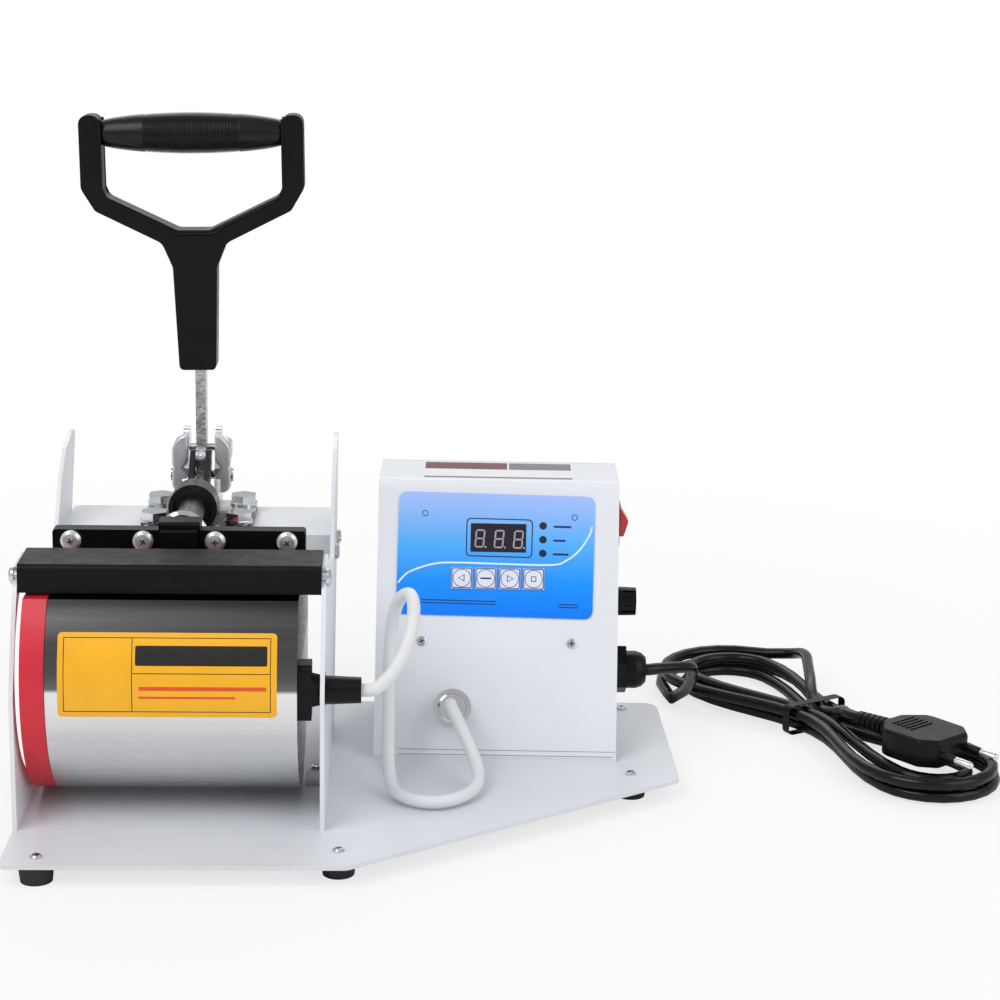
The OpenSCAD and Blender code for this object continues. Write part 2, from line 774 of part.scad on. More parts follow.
// ==== clamp ====
// a rounded wing on the outer side of an ear
module wing(side, y0, y1, z0, z1) {
    x0 = side * cheek_in;
    x1 = side * ear_x;
    xz(y0, y1 - y0) polygon(rounded([[x0, z0, 0], [x1, z0, wing_r], [x1, z1, wing_r], [x0, z1, 0]]));
}
module clamp_body() {
    w = clamp_foot_w;
    saddle = barrel_r * 0.72;
    color("#8f9398") stand() difference() {
        union() {
            translate([0, 0, bridge_top]) linear_extrude(clamp_foot_t)
                polygon(block(-w / 2, foot_y0, w / 2, foot_y1, 4));
            rod_y(barrel_r, barrel_y0, barrel_y1, 0, plunger_z);
            yz(-saddle, 2 * saddle) polygon([
                [barrel_y0 + 5, plunger_z], [barrel_y0 + 5, plunger_z - 9],
                [foot_y0, foot_top - 1], [foot_y0 + 18, foot_top - 1],
                [barrel_y1, plunger_z - plunger_r - 1], [barrel_y1, plunger_z]
            ]);
            for (side = [-1, 1]) {
                yz(side < 0 ? -cheek_in - cheek_t : cheek_in, cheek_t) polygon(rounded([
                    [pivot_y - 15, foot_top - 1, 0], [pivot_y - 6, pivot_z, 3],
                    [lobe_upper_y - 6, ear_top, 3], [lobe_upper_y + 3.5, ear_top, 3],
                    [foot_y1 - 1, foot_top - 1, 0]
                ]));
                wing(side, pivot_y - 6, pivot_y + 5, wing_bottom, wing_mid_z - wing_gap / 2);
                wing(side, pivot_y + 1, lobe_upper_y + 3, wing_mid_z + wing_gap / 2, wing_top);
            }
        }
        rod_y(plunger_r + slip, barrel_y0 - 1, barrel_y1 + 1, 0, plunger_z);
        rod_y(mouth_r, barrel_y0 - 1, barrel_y0 + mouth_d, 0, plunger_z);
        rod_x(pin_big_r + slip, -ear_x - 1, ear_x + 1, pivot_y, pivot_z);
        rod_x(pin_small_r + slip, -ear_x - 1, ear_x + 1, lobe_upper_y, lobe_upper_z);
        for (x = [-bolt_span / 2, bolt_span / 2], y = bolt_y)
            translate([x, y, bridge_top - 1]) cylinder(r = bolt_r + loose, h = clamp_foot_t + 2);
    }
}
module clamp_bolts() {
    l = clamp_foot_t + bridge_t + 6;
    color("#c9ccd0") stand() for (x = [-bolt_span / 2, bolt_span / 2], y = bolt_y)
        translate([x, y, foot_top]) {
            cylinder(r = bolt_head_r, h = 1.4);
            translate([0, 0, 1.4 - eps]) rotate([0, 0, 30])
                cylinder(r = bolt_head_r, h = bolt_head_h, $fn = 6);
            translate([0, 0, -l]) cylinder(r = bolt_r, h = l + eps);
        }
}
module clamp_nuts() {
    color("#c9ccd0") stand() for (x = [-bolt_span / 2, bolt_span / 2], y = bolt_y)
        translate([x, y, bridge_top - bridge_t - 5]) difference() {
            cylinder(r = 5.7, h = 5, $fn = 6);
            translate([0, 0, -1]) cylinder(r = bolt_r + slip, h = 7);
        }
}
module pivot_pin() {
    color("silver") stand() {
        rod_x(pin_big_r, -ear_x, ear_x, pivot_y, pivot_z);
        rod_x(pin_big_r + 1.2, ear_x + slip, ear_x + 1, pivot_y, pivot_z);
        rod_x(pin_big_r, ear_x - eps, ear_x + 1, pivot_y, pivot_z);
        rod_x(pin_big_r + 1.2, -ear_x - 1, -ear_x - slip, pivot_y, pivot_z);
        rod_x(pin_big_r, -ear_x - 1, -ear_x + eps, pivot_y, pivot_z);
    }
}
module stop_pin() {
    color("silver") stand() rod_x(pin_small_r, -ear_x, ear_x, lobe_upper_y, lobe_upper_z);
}
module lever() {
    top = stem_z + socket_d;
    color("#a9acb1") stand() difference() {
        yz(-lever_t / 2, lever_t) {
            hull() {
                translate([pivot_y, pivot_z]) circle(r = lever_half + 0.5, $fn = 32);
                translate([crank_y(0), crank_z(0)]) circle(r = link_arm_r + 1.2, $fn = 32);
            }
            translate([pivot_y - lever_half, pivot_z]) square([2 * lever_half, top - pivot_z]);
        }
        rod_x(pin_big_r + slip, -lever_t, lever_t, pivot_y, pivot_z);
        rod_x(pin_small_r + slip, -lever_t, lever_t, crank_y(0), crank_z(0));
    }
}
module link_pin() {
    color("silver") stand() rod_x(pin_small_r, -link_out, link_out, crank_y(0), crank_z(0));
}
// the two links, with play at the plunger's end
module link_plates() {
    drop = link_drop(0);
    color("#2d2e31") stand() for (side = [-1, 1])
        translate([side < 0 ? -link_out : link_out - link_t, crank_y(0), crank_z(0)])
            rotate([180 + drop, 0, 0]) rotate([90, 0, 90]) difference() {
                linear_extrude(link_t) hull() {
                    circle(r = link_arm_r + 0.6, $fn = 32);
                    translate([link_l, 0]) circle(r = link_end_r, $fn = 32);
                }
                translate([0, 0, -1]) cylinder(r = pin_small_r + slip, h = link_t + 2);
                translate([link_l, 0, -1]) rotate([0, 0, atan2(link_slot[1], link_slot[0])]) {
                    for (d = [0, norm(link_slot)]) translate([d, 0, 0])
                        cylinder(r = pin_small_r + link_play, h = link_t + 2);
                    translate([0, -pin_small_r - link_play, 0])
                        cube([norm(link_slot), 2 * (pin_small_r + link_play), link_t + 2]);
                }
            }
}

// ==== handle ====
module leaning() {
    translate([0, 0, pivot_z]) rotate([0, -handle_lean, 0]) translate([0, 0, -pivot_z]) children();
}
module handle_frame() {
    w = handle_w / 2;
    z0 = stem_z;
    z1 = post_top;
    hip = z0 + 80;
    half = [[9.2, z0, 2.5], [11, z0 + 52, 4], [16, z0 + 64, 6],
            [w - 6.6, hip, 4], [w, hip + 11, 6], [w, z1, 4.5],
            [w - post_w, z1, 4.5], [w - post_w, hip + 8, 5], [8, z0 + 70.5, 5]];
    n = len(half);
    outline = concat(half, [for (i = [n - 1 : -1 : 0]) [-half[i][0], half[i][1], half[i][2]]]);
    color("#1a1a1c") stand() difference() {
        leaning() xz(pivot_y - handle_t / 2, handle_t) polygon(rounded(outline));
        translate([-lever_t / 2 - slip, pivot_y - lever_half - slip, z0 - 1])
            cube([lever_t + 2 * slip, 2 * lever_half + 2 * slip, socket_d + 1 + slip]);
        leaning() rod_x(m4_r + 1, -w - 1, -w + post_w + 1, pivot_y, grip_z);
        leaning() rod_x(m4_r + 1, w - post_w - 1, w + 1, pivot_y, grip_z);
    }
}
module handle_grip() {
    half = grip_x - 0.1;
    shape = concat(
        [[0, -half]],
        [for (i = [-12 : 12]) let (t = i / 12)
            [grip_end_r + (grip_r - grip_end_r) * pow(cos(t * 90), 0.6), half * t]],
        [[0, half]]
    );
    color("#1a1a1c") stand() leaning() translate([0, pivot_y, grip_z]) rotate([0, 90, 0])
        difference() {
            rotate_extrude() polygon(shape);
            for (s = [-1, 1]) translate([0, 0, s * half - 10])
                cylinder(r = m4_r + slip, h = 20);
        }
}
module grip_bolts() {
    w = handle_w / 2;
    color("#2a2a2a") stand() leaning() for (s = [-1, 1]) translate([0, pivot_y, grip_z]) {
        rod_x(m4_r, s < 0 ? -w + 0.6 : w - post_w - 8, s < 0 ? -w + post_w + 8 : w - 0.6, 0, 0);
        rod_x(m4_r + 1 - slip, s < 0 ? -w + 0.6 : w - 3, s < 0 ? -w + 3 : w - 0.6, 0, 0);
    }
}

// ==== control box ====
module box_place() {
    translate([box_x, box_y, 0]) rotate([0, 0, -box_turn]) children();
}
// u to the right and v up along the leaning front, w out of it
module on_front() {
    translate([0, 0, box_z0]) rotate([90 - lean_angle, 0, 0]) children();
}
function box_screw_at() =
    [for (x = [-box_w / 2 + 14, box_w / 2 - 14], y = [16, box_d - 14]) [x, y]];
// side view of the box, drawn inside its outline by the distance t
function box_side(t, r) = let (s = t / cos(lean_angle), k = tan(lean_angle)) rounded([
    [s, box_z0 - eps, 0], [s + (box_h - t - box_z0) * k, box_h - t, r],
    [box_d - box_t, box_h - t, r > 0 ? 1 : 0], [box_d - box_t, box_z0 - eps, 0]
]);
module box_shell() {
    color("#ececea") stand() box_place() difference() {
        yz(-box_w / 2, box_w) polygon(box_side(0, 5));
        yz(-box_w / 2 + box_t, box_w - 2 * box_t) polygon(concat(
            [for (p = box_side(box_t, 4)) p[0] > box_d - 3 ? [box_d + 1, p[1]] : p]));
        translate([-box_w / 2 + box_t, 0, -1]) cube([box_w - 2 * box_t, box_d + 1, box_z0 + 1.1]);
        on_front() front_cuts();
        side_cut(rocker_z) cube([2 * box_t + 4, 12.4, 19.4], center = true);
        side_cut(fuse_z) rotate([0, 90, 0]) cylinder(r = 5.3, h = 2 * box_t + 4, center = true);
        side_cut(gland_z) rotate([0, 90, 0]) cylinder(r = 6.2, h = 2 * box_t + 4, center = true);
    }
}
module side_cut(z) {
    translate([box_w / 2, side_y, z]) children();
}
module front_cuts() {
    translate([window_at[0], window_at[1], -5])
        translate([-window_w / 2, -window_h / 2, 0]) cube([window_w, window_h, 10]);
    for (v = lamp_at) translate([lamp_x, v, -5]) cylinder(r = lamp_r + loose, h = 10);
    for (x = [-panel_screw_x, panel_screw_x], v = panel_screw_v)
        translate([x, v, -5]) cylinder(r = panel_screw_r + loose, h = 10);
    for (i = [0 : 3]) translate([key_x(i), key_v, -5]) cylinder(r = 2.5, h = 10);
    translate([socket_x, socket_v, -5]) cylinder(r = socket_r + loose, h = 10);
}
function key_x(i) = (i - 1.5) * key_pitch;
module box_tray() {
    color("#dcdcda") stand() box_place() difference() {
        union() {
            translate([-box_w / 2, 0, 0]) cube([box_w, box_d, tray_t - slip]);
            translate([-box_w / 2, box_d - box_t + slip, 0])
                cube([box_w, box_t - slip, box_h]);
        }
        for (p = box_screw_at()) translate([p[0], p[1], -1])
            cylinder(r = m3_r + loose, h = tray_t + 2);
        for (i = [0 : 6]) translate([-24 + 8 * i, box_d - 3, 40]) cube([3, 6, 34]);
    }
}
module printed_panel() {
    color("#2f7ff0") stand() box_place() on_front() difference() {
        translate([panel_u, panel_v, slip]) rotate([0, 0, -panel_skew])
            linear_extrude(panel_t) polygon(block(-panel_w / 2, 0, panel_w / 2, panel_h, 4));
        translate([window_at[0] - window_w / 2, window_at[1] - window_h / 2, -1])
            cube([window_w, window_h, 4]);
        for (v = lamp_at) translate([lamp_x, v, -1]) cylinder(r = lamp_r + loose, h = 4);
        for (i = [0 : 3]) translate([key_x(i) - key_w / 2 - 0.1, key_v - key_w / 2 - 0.1, -1])
            cube([key_w + 0.2, key_w + 0.2, 4]);
    }
}
module display_window() {
    g = loose;
    color("#202226") stand() box_place() on_front()
        translate([window_at[0], window_at[1], 0]) {
            translate([-window_w / 2 + g, -window_h / 2 + g, -box_t - 4])
                cube([window_w - 2 * g, window_h - 2 * g, box_t + 4 + panel_t]);
            translate([-window_w / 2 - 2, -window_h / 2 - 2, -box_t - board_gap])
                cube([window_w + 4, window_h + 4, board_gap - 0.3]);
        }
}
module indicator_lamps() {
    color("#1c2c66") stand() box_place() on_front() for (v = lamp_at)
        translate([lamp_x, v, -box_t - board_gap])
            cylinder(r = lamp_r, h = box_t + board_gap + panel_t);
}
module key(i) {
    top = panel_t + 0.3;
    color("#3c86ef") stand() box_place() on_front() translate([key_x(i), key_v, 0]) {
        translate([-key_w / 2, -key_w / 2, key_travel + slip])
            cube([key_w, key_w, top + 0.3 - key_travel]);
        translate([0, 0, -box_t - 3]) cylinder(r = 2.2, h = box_t + 3.5 + key_travel);
    }
}
module key_left() { key(0); }
module key_mode() { key(1); }
module key_right() { key(2); }
module key_stop() { key(3); }
module panel_screws() {
    color("silver") stand() box_place() on_front() {
        for (x = [-panel_screw_x, panel_screw_x]) {
            translate([x, panel_screw_v[0], 0])
                pan_screw(panel_screw_r, panel_head_r, 1.2, box_t + board_gap + board_t);
            translate([x, panel_screw_v[1], -box_t - board_gap - board_t])
                cylinder(r = panel_screw_r, h = box_t + board_gap + board_t);
        }
    }
}
module control_board() {
    color("#2c7a4b") stand() box_place() on_front() difference() {
        translate([-panel_screw_x - 9.4, panel_screw_v[0] - 5, -box_t - board_gap - board_t])
            cube([2 * panel_screw_x + 18.8, panel_screw_v[1] - panel_screw_v[0] + 8,
                  board_t - slip]);
        for (x = [-panel_screw_x, panel_screw_x], v = panel_screw_v)
            translate([x, v, -20]) cylinder(r = panel_screw_r + slip, h = 30);
    }
}
module transformer() {
    color("#8a5a2b") stand() box_place() translate([box_w / 2 - 37, 58, tray_t + slip]) {
        translate([-19, -16, 0]) cube([38, 32, 5]);
        translate([-16, -8, 5 - eps]) cube([32, 16, 26]);
        translate([-11, -14, 8]) cube([22, 28, 20]);
    }
}
module power_relay() {
    color("#2b2c30") stand() box_place() translate([29 - box_w / 2, 44, tray_t + slip]) {
        translate([-18, -14, 0]) cube([36, 28, 3]);
        for (i = [0 : 5]) translate([-18 + 6.9 * i, -14, 3 - eps]) cube([1.5, 28, 18]);
        translate([-18, -14, 21 - 2 * eps]) cube([36, 28, 3]);
        translate([-8, -6, 24 - 3 * eps]) cube([16, 12, 9]);
    }
}
module rocker_bezel() {
    color("#1a1a1a") stand() box_place() side_cut(rocker_z) difference() {
        union() {
            translate([slip, -7.5, -10.5]) cube([0.8, 15, 21]);
            translate([-12, -6, -9.5]) cube([12 + slip + eps, 12, 19]);
        }
        translate([-8, -4.8, -8.1]) cube([12, 9.6, 16.2]);
    }
}
module rocker_switch() {
    color("#c3161c") stand() box_place() side_cut(rocker_z) xz(-4.4, 8.8)
        translate([rocker_pivot, 0]) rotate(rocker_tilt) polygon(rounded([
            [-2, -3.5, 0], [3.8, -7.4, 0.5], [5.2, -7.2, 0.5], [8.4, 0, 2],
            [5.2, 7.2, 0.5], [3.8, 7.4, 0.5], [-2, 3.5, 0]
        ]));
}
module fuse_holder() {
    color("#1a1a1a") stand() box_place() side_cut(fuse_z) rotate([0, 90, 0]) difference() {
        union() {
            translate([0, 0, slip]) cylinder(r = 7.4, h = 1.5);
            translate([0, 0, -24]) cylinder(r = 5.1, h = 24.5);
        }
        translate([0, 0, -20]) cylinder(r = 3.9, h = 30);
    }
}
module fuse_cap() {
    color("#202020") stand() box_place() side_cut(fuse_z) rotate([0, 90, 0]) {
        difference() {
            translate([0, 0, 1.9]) cylinder(r1 = 7.2, r2 = 6.9, h = 8.5);
            for (a = [0 : 30 : 330]) rotate([0, 0, a]) translate([6.4, -0.6, 4])
                cube([2, 1.2, 8]);
        }
        translate([0, 0, -12]) cylinder(r = 3.6, h = 14);
    }
}
module panel_socket() {
    color("#c4c7cb") stand() box_place() on_front() translate([socket_x, socket_v, 0])
        difference() {
            union() {
                translate([0, 0, slip]) cylinder(r = socket_ring_r, h = 2);
                translate([0, 0, -14]) cylinder(r = socket_r, h = 22);
            }
            translate([0, 0, 3]) cylinder(r = socket_r - 1, h = 10);
        }
}
module lead_plug() {
    color("#d5d8db") stand() box_place() on_front() translate([socket_x, socket_v, 0])
        difference() {
            union() {
                translate([0, 0, 3.2]) cylinder(r = socket_r - 1.2, h = 6);
                difference() {
                    translate([0, 0, 2.4]) cylinder(r = 8, h = 10);
                    translate([0, 0, 1.4]) cylinder(r = socket_r + 0.3, h = 7.2);
                }
                translate([0, 0, 12.4 - eps]) cylinder(r1 = 7, r2 = 6, h = 4);
            }
                translate([0, 0, 10]) cylinder(r = lead_d / 2 + 0.3, h = 10);
        }
}
module cable_gland() {
    color("#17171a") stand() box_place() side_cut(gland_z) rotate([0, 90, 0]) difference() {
        union() {
            translate([0, 0, slip]) cylinder(d = gland_hex / cos(30), h = 6.5, $fn = 6);
            translate([0, 0, 6.5]) rotate_extrude() polygon([[0, 0], [9.4, 0],
                [9.4, gland_out - 11.5], [8.4, gland_out - 8.6], [6.4, gland_out - 6.5],
                [0, gland_out - 6.5]]);
            translate([0, 0, -10]) cylinder(r = 6, h = 11);
            translate([0, 0, -box_t - 5]) cylinder(d = 18 / cos(30), h = 4.9, $fn = 6);
        }
        translate([0, 0, -12]) cylinder(r = cord_d / 2 + 0.2, h = 40);
    }
}

// ==== leads ====
// a smooth curve through points: m steps for each stretch
function curve(p, m) = let (n = len(p)) concat(
    [for (i = [0 : n - 2], k = [0 : m - 1]) let (
        t = k / m,
        a = p[max(i - 1, 0)], b = p[i], c = p[i + 1], d = p[min(i + 2, n - 1)]
    ) 0.5 * (2 * b + (c - a) * t + (2 * a - 5 * b + 4 * c - d) * t * t
        + (3 * b - a - 3 * c + d) * t * t * t)],
    [p[n - 1]]
);
function tangents(p) = let (n = len(p))
    [for (i = [0 : n - 1]) unit(p[min(i + 1, n - 1)] - p[max(i - 1, 0)])];
function across(v, t) = unit(v - (v * t) * t);
// directions square to the path that never twist suddenly
function sides(t, first) = [
    for (i = 0, u = across(first, t[0]); i < len(t);
         i = i + 1, u = i < len(t) ? across(u, t[i]) : u) u
];
module tube(path, r, n, first) {
    t = tangents(path);
    u = sides(t, first);
    m = len(path);
    points = [for (i = [0 : m - 1], k = [0 : n - 1])
        path[i] + r * (cos(360 * k / n) * u[i] + sin(360 * k / n) * cross(t[i], u[i]))];
    walls = [for (i = [0 : m - 2], k = [0 : n - 1]) let (
        a = i * n + k, b = i * n + (k + 1) % n
    ) each [[a, a + n, b + n], [a, b + n, b]]];
    caps = [for (k = [1 : n - 2]) each [[0, k, k + 1],
        [(m - 1) * n, (m - 1) * n + k + 1, (m - 1) * n + k]]];
    polyhedron(points = points, faces = concat(walls, caps), convexity = 10);
}
// where the cord leaves the gland, and the lead's plug, at the press centre
function turned(p, z) = [box_x + p[0] * cos(box_turn) + p[1] * sin(box_turn),
                         box_y - p[0] * sin(box_turn) + p[1] * cos(box_turn), z];
function front_point(u, v, w) = let (
    y = v * sin(lean_angle) - w * cos(lean_angle),
    z = box_z0 + v * cos(lean_angle) + w * sin(lean_angle)
) turned([u, y], z);
function gland_point(out) = turned([box_w / 2 + gland_out + out, side_y], gland_z);
lead_path = curve(concat(lead_pts, [
    front_point(socket_x, socket_v, 25), front_point(socket_x, socket_v, 17.5),
    front_point(socket_x, socket_v, 10.2)
]), 2);

// the hank: loops of cord that spiral in below and out again on top
hank_turn = (hank_start + hank_end) / 2;
run_half = hank_len / 2 - fold_r - hank_step * (hank_end - hank_turn);
function hank_fold(s) = fold_r + hank_step * abs(s - hank_turn);
function hank_climb(s) = layer_step * max(0, min(1, (s - hank_turn) * 2 + 0.5));
// how far from its long axis a straight of the hank lies, drawn in at the waist
function hank_drawn(r, x) = let (in = pow(cos(90 * x / run_half), 2))
    r * (1 - waist_draw * in) - waist_close * in;
function hank_local(s) = let (
    q = 4 * (s - floor(s)),
    r = hank_fold(s),
    f = q - floor(q),
    x = (q < 1 ? 2 * f - 1 : 1 - 2 * f) * run_half,
    drawn = hank_drawn(r, x)
) q < 1 ? [x, drawn]
    : q < 2 ? [run_half + r * sin(180 * f), r * cos(180 * f)]
    : q < 3 ? [x, -drawn]
    : [-run_half - r * sin(180 * f), -r * cos(180 * f)];
function hank_at(x, y, z) = [
    hank_mid[0] + x * cos(hank_dir) - y * sin(hank_dir),
    hank_mid[1] + x * sin(hank_dir) + y * cos(hank_dir), z
];
function hank_over(x, y, z) = hank_at(x, y, hank_z + z);
function hank_point(s) = let (p = hank_local(s)) hank_at(p[0], p[1], hank_z + hank_climb(s));
hank_steps = round(24 * (hank_end - hank_start));
hank_body = [for (i = [0 : hank_steps])
    hank_point(hank_start + (hank_end - hank_start) * i / hank_steps)];
hank_in = hank_body[0] - cord_d * unit(hank_body[1] - hank_body[0]);
hank_out = hank_body[hank_steps]
    + cord_d * unit(hank_body[hank_steps] - hank_body[hank_steps - 1]);
hank_path = concat([hank_in], hank_body, [hank_out]);
// least gap between parts of the hank that are over half a loop apart
hank_gap = min([for (i = [0 : hank_steps - 12], j = [i + 12 : hank_steps])
    norm(hank_body[i] - hank_body[j])]) - cord_d;
echo(hank_gap = hank_gap);
plug_axis = [cos(plug_dir), sin(plug_dir), 0];
relief_start = hank_at(plug_from[0], plug_from[1], plug_z);
plug_start = relief_start + relief_l * plug_axis;
hank_in_dir = unit(hank_body[0] - hank_in);
hank_out_dir = unit(hank_out - hank_body[hank_steps]);
mains_path_a = concat(curve([
    gland_point(-5), gland_point(1), gland_point(8.5) + [0, 3.5, -0.4],
    [250, 80, 27.5], [253, 93, 20], [254, 106, 11], [253, 118, 2.5], [250.5, 128, -3.5],
    hank_in - 1.5 * cord_d * hank_in_dir
], 3), [hank_in]);
mains_path_b = concat([hank_out], curve([
    hank_out + 2 * hank_out_dir, hank_over(-85, 45.5, 8.6), hank_over(-75, 44.5, 11.7),
    hank_over(-64, 39, 13.6), hank_over(-53, 31, 13.9), hank_over(-43, 23.7, 13.9),
    hank_over(-32, 15.7, 13.5), hank_over(-22.5, 8.7, 11.8), hank_over(-14, 4, 8.8),
    hank_over(-5, 1.4, 7.3), hank_over(4, 0.8, 8.6), hank_over(12, -1.2, 11.9),
    hank_over(20, -5.2, 15.5), relief_start - 1.4 * cord_d * plug_axis
], 3), [relief_start]);
module heater_lead() {
    color("#e6e6e2") stand() tube(lead_path, lead_d / 2, 8, [0, 0, 1]);
}
module mains_lead() {
    color("#1a1a1c") stand() {
        tube(mains_path_a, cord_d / 2, 8, [0, 0, 1]);
        tube(mains_path_b, cord_d / 2, 8, [0, 0, 1]);
    }
}
module mains_hank() {
    color("#1a1a1c") stand() tube(hank_path, cord_d / 2, 6, [0, 0, 1]);
}
// a flat tie round the hank's waist
module cord_tie() {
    g = 0.7;
    y1 = hank_drawn(hank_fold(0.125), tie_x) + cord_d / 2 + 3 * g;
    y0 = -hank_drawn(hank_fold(2.625), tie_x) - cord_d / 2 - 3 * g;
    z0 = hank_z - cord_d / 2 - g;
    z1 = hank_z + layer_step + cord_d / 2 + 2.3 * g;
    color("#101010") stand() translate(hank_at(0, 0, 0)) rotate([0, 0, hank_dir])
        yz(tie_x - tie_w / 2, tie_w) difference() {
            polygon(block(y0 - tie_t, z0 - tie_t, y1 + tie_t, z1 + tie_t, 3.5));
            polygon(block(y0, z0, y1, z1, 3));
        }
}
module mains_plug() {
    color("#1a1a1c") stand() translate(relief_start) rotate([0, 0, plug_dir]) {
        rotate([0, 90, 0]) rotate_extrude()
            polygon([[0, 0], [cord_d / 2 + 0.8, 0], [5.6, relief_l - 2], [5.6, relief_l + 2],
                     [0, relief_l + 2]]);
        translate([relief_l, 0, -plug_t / 2]) linear_extrude(plug_t) polygon(rounded([
            [0, -8, 3], [8, -plug_w / 2, 4], [plug_l - 4, -plug_w / 2, 3], [plug_l, -plug_w / 2 + 4, 2],
            [plug_l, plug_w / 2 - 4, 2], [plug_l - 4, plug_w / 2, 3], [8, plug_w / 2, 4], [0, 8, 3]
        ]));
        for (s = [-1, 1]) rod_x(pin_r, relief_l + plug_l - eps, relief_l + plug_l + pin_l, s * pin_gap / 2, 0);
    }
}

base_plate();
rubber_feet();
foot_screws();
foot_nuts();
left_side_plate();
right_side_plate();
base_screws();
front_guard();
side_screws();
front_bar();
front_bar_screws();
heater_jacket();
insulation_felt();
heater_band();
heating_mat();
cable_boot();
rear_bridge();
moving_bar();
moving_bar_screws();
push_block();
plunger();
plunger_pin();
adjusting_wheel();
clamp_body();
clamp_bolts();
clamp_nuts();
pivot_pin();
stop_pin();
lever();
link_pin();
link_plates();
handle_frame();
handle_grip();
grip_bolts();
box_shell();
box_tray();
printed_panel();
display_window();
indicator_lamps();
key_left();
key_mode();
key_right();
key_stop();
panel_screws();
control_board();
transformer();
power_relay();
rocker_bezel();
rocker_switch();
fuse_holder();
fuse_cap();
panel_socket();
lead_plug();
cable_gland();
heater_lead();
mains_lead();
mains_hank();
cord_tie();
mains_plug();
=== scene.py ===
"""Looks of a mug heat press with a push-pull clamp and a digital control box.

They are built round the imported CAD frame. Sizes are in millimetres from the press centre, as in the CAD source,
and PRESS takes them to metres in the row frame."""
import math

import bmesh
import bpy
from mathutils import Matrix, Vector


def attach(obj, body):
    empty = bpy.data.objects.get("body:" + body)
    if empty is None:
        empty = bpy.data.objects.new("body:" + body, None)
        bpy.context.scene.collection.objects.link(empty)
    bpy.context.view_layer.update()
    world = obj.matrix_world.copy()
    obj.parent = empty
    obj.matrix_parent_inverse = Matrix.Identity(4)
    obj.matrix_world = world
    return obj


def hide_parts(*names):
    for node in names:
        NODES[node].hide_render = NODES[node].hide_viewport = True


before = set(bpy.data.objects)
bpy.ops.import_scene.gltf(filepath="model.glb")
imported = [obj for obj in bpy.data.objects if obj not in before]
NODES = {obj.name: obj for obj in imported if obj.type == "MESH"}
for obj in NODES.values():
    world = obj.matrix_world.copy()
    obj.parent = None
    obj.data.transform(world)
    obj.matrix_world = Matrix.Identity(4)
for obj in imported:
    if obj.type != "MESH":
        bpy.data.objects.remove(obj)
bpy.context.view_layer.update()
scene = bpy.context.scene


# ---- places ----
def shift(x, y, z):
    return Matrix.Translation((x, y, z))


def turn(degrees, axis):
    return Matrix.Rotation(math.radians(degrees), 4, axis)


FLOOR_Z = -10.5
BOX_Z0 = 1.2
LEAN = math.degrees(math.atan2(42, 129.4 - BOX_Z0))
BOX_AT = (148.4, 18, 0)
BOX_TURN = -2
PRESS = Matrix.Scale(0.001, 4) @ shift(-82.3, -11.75, -FLOOR_Z)
BOX = PRESS @ shift(*BOX_AT) @ turn(BOX_TURN, "Z")
FRONT = BOX @ shift(0, 0, BOX_Z0) @ turn(90 - LEAN, "X")


# ---- camera, at the photograph's viewing angle ----
camera_data = bpy.data.cameras.new("camera")
camera_data.sensor_width = 36
camera_data.lens = 2.301 * 36
camera_data.clip_start = 0.05
camera_data.clip_end = 20
camera = bpy.data.objects.new("camera", camera_data)
scene.collection.objects.link(camera)
right = Vector((0.99904673, -0.0390723, 0.01946751))
up = Vector((-0.00941112, 0.2426903, 0.97005817))
ahead = Vector((0.04262698, 0.96931665, -0.24209124))
camera.matrix_world = Matrix.Translation((0.019858, -1.047731, 0.403995)) @ Matrix(
    (right, up, -ahead)).transposed().to_4x4()
scene.camera = camera


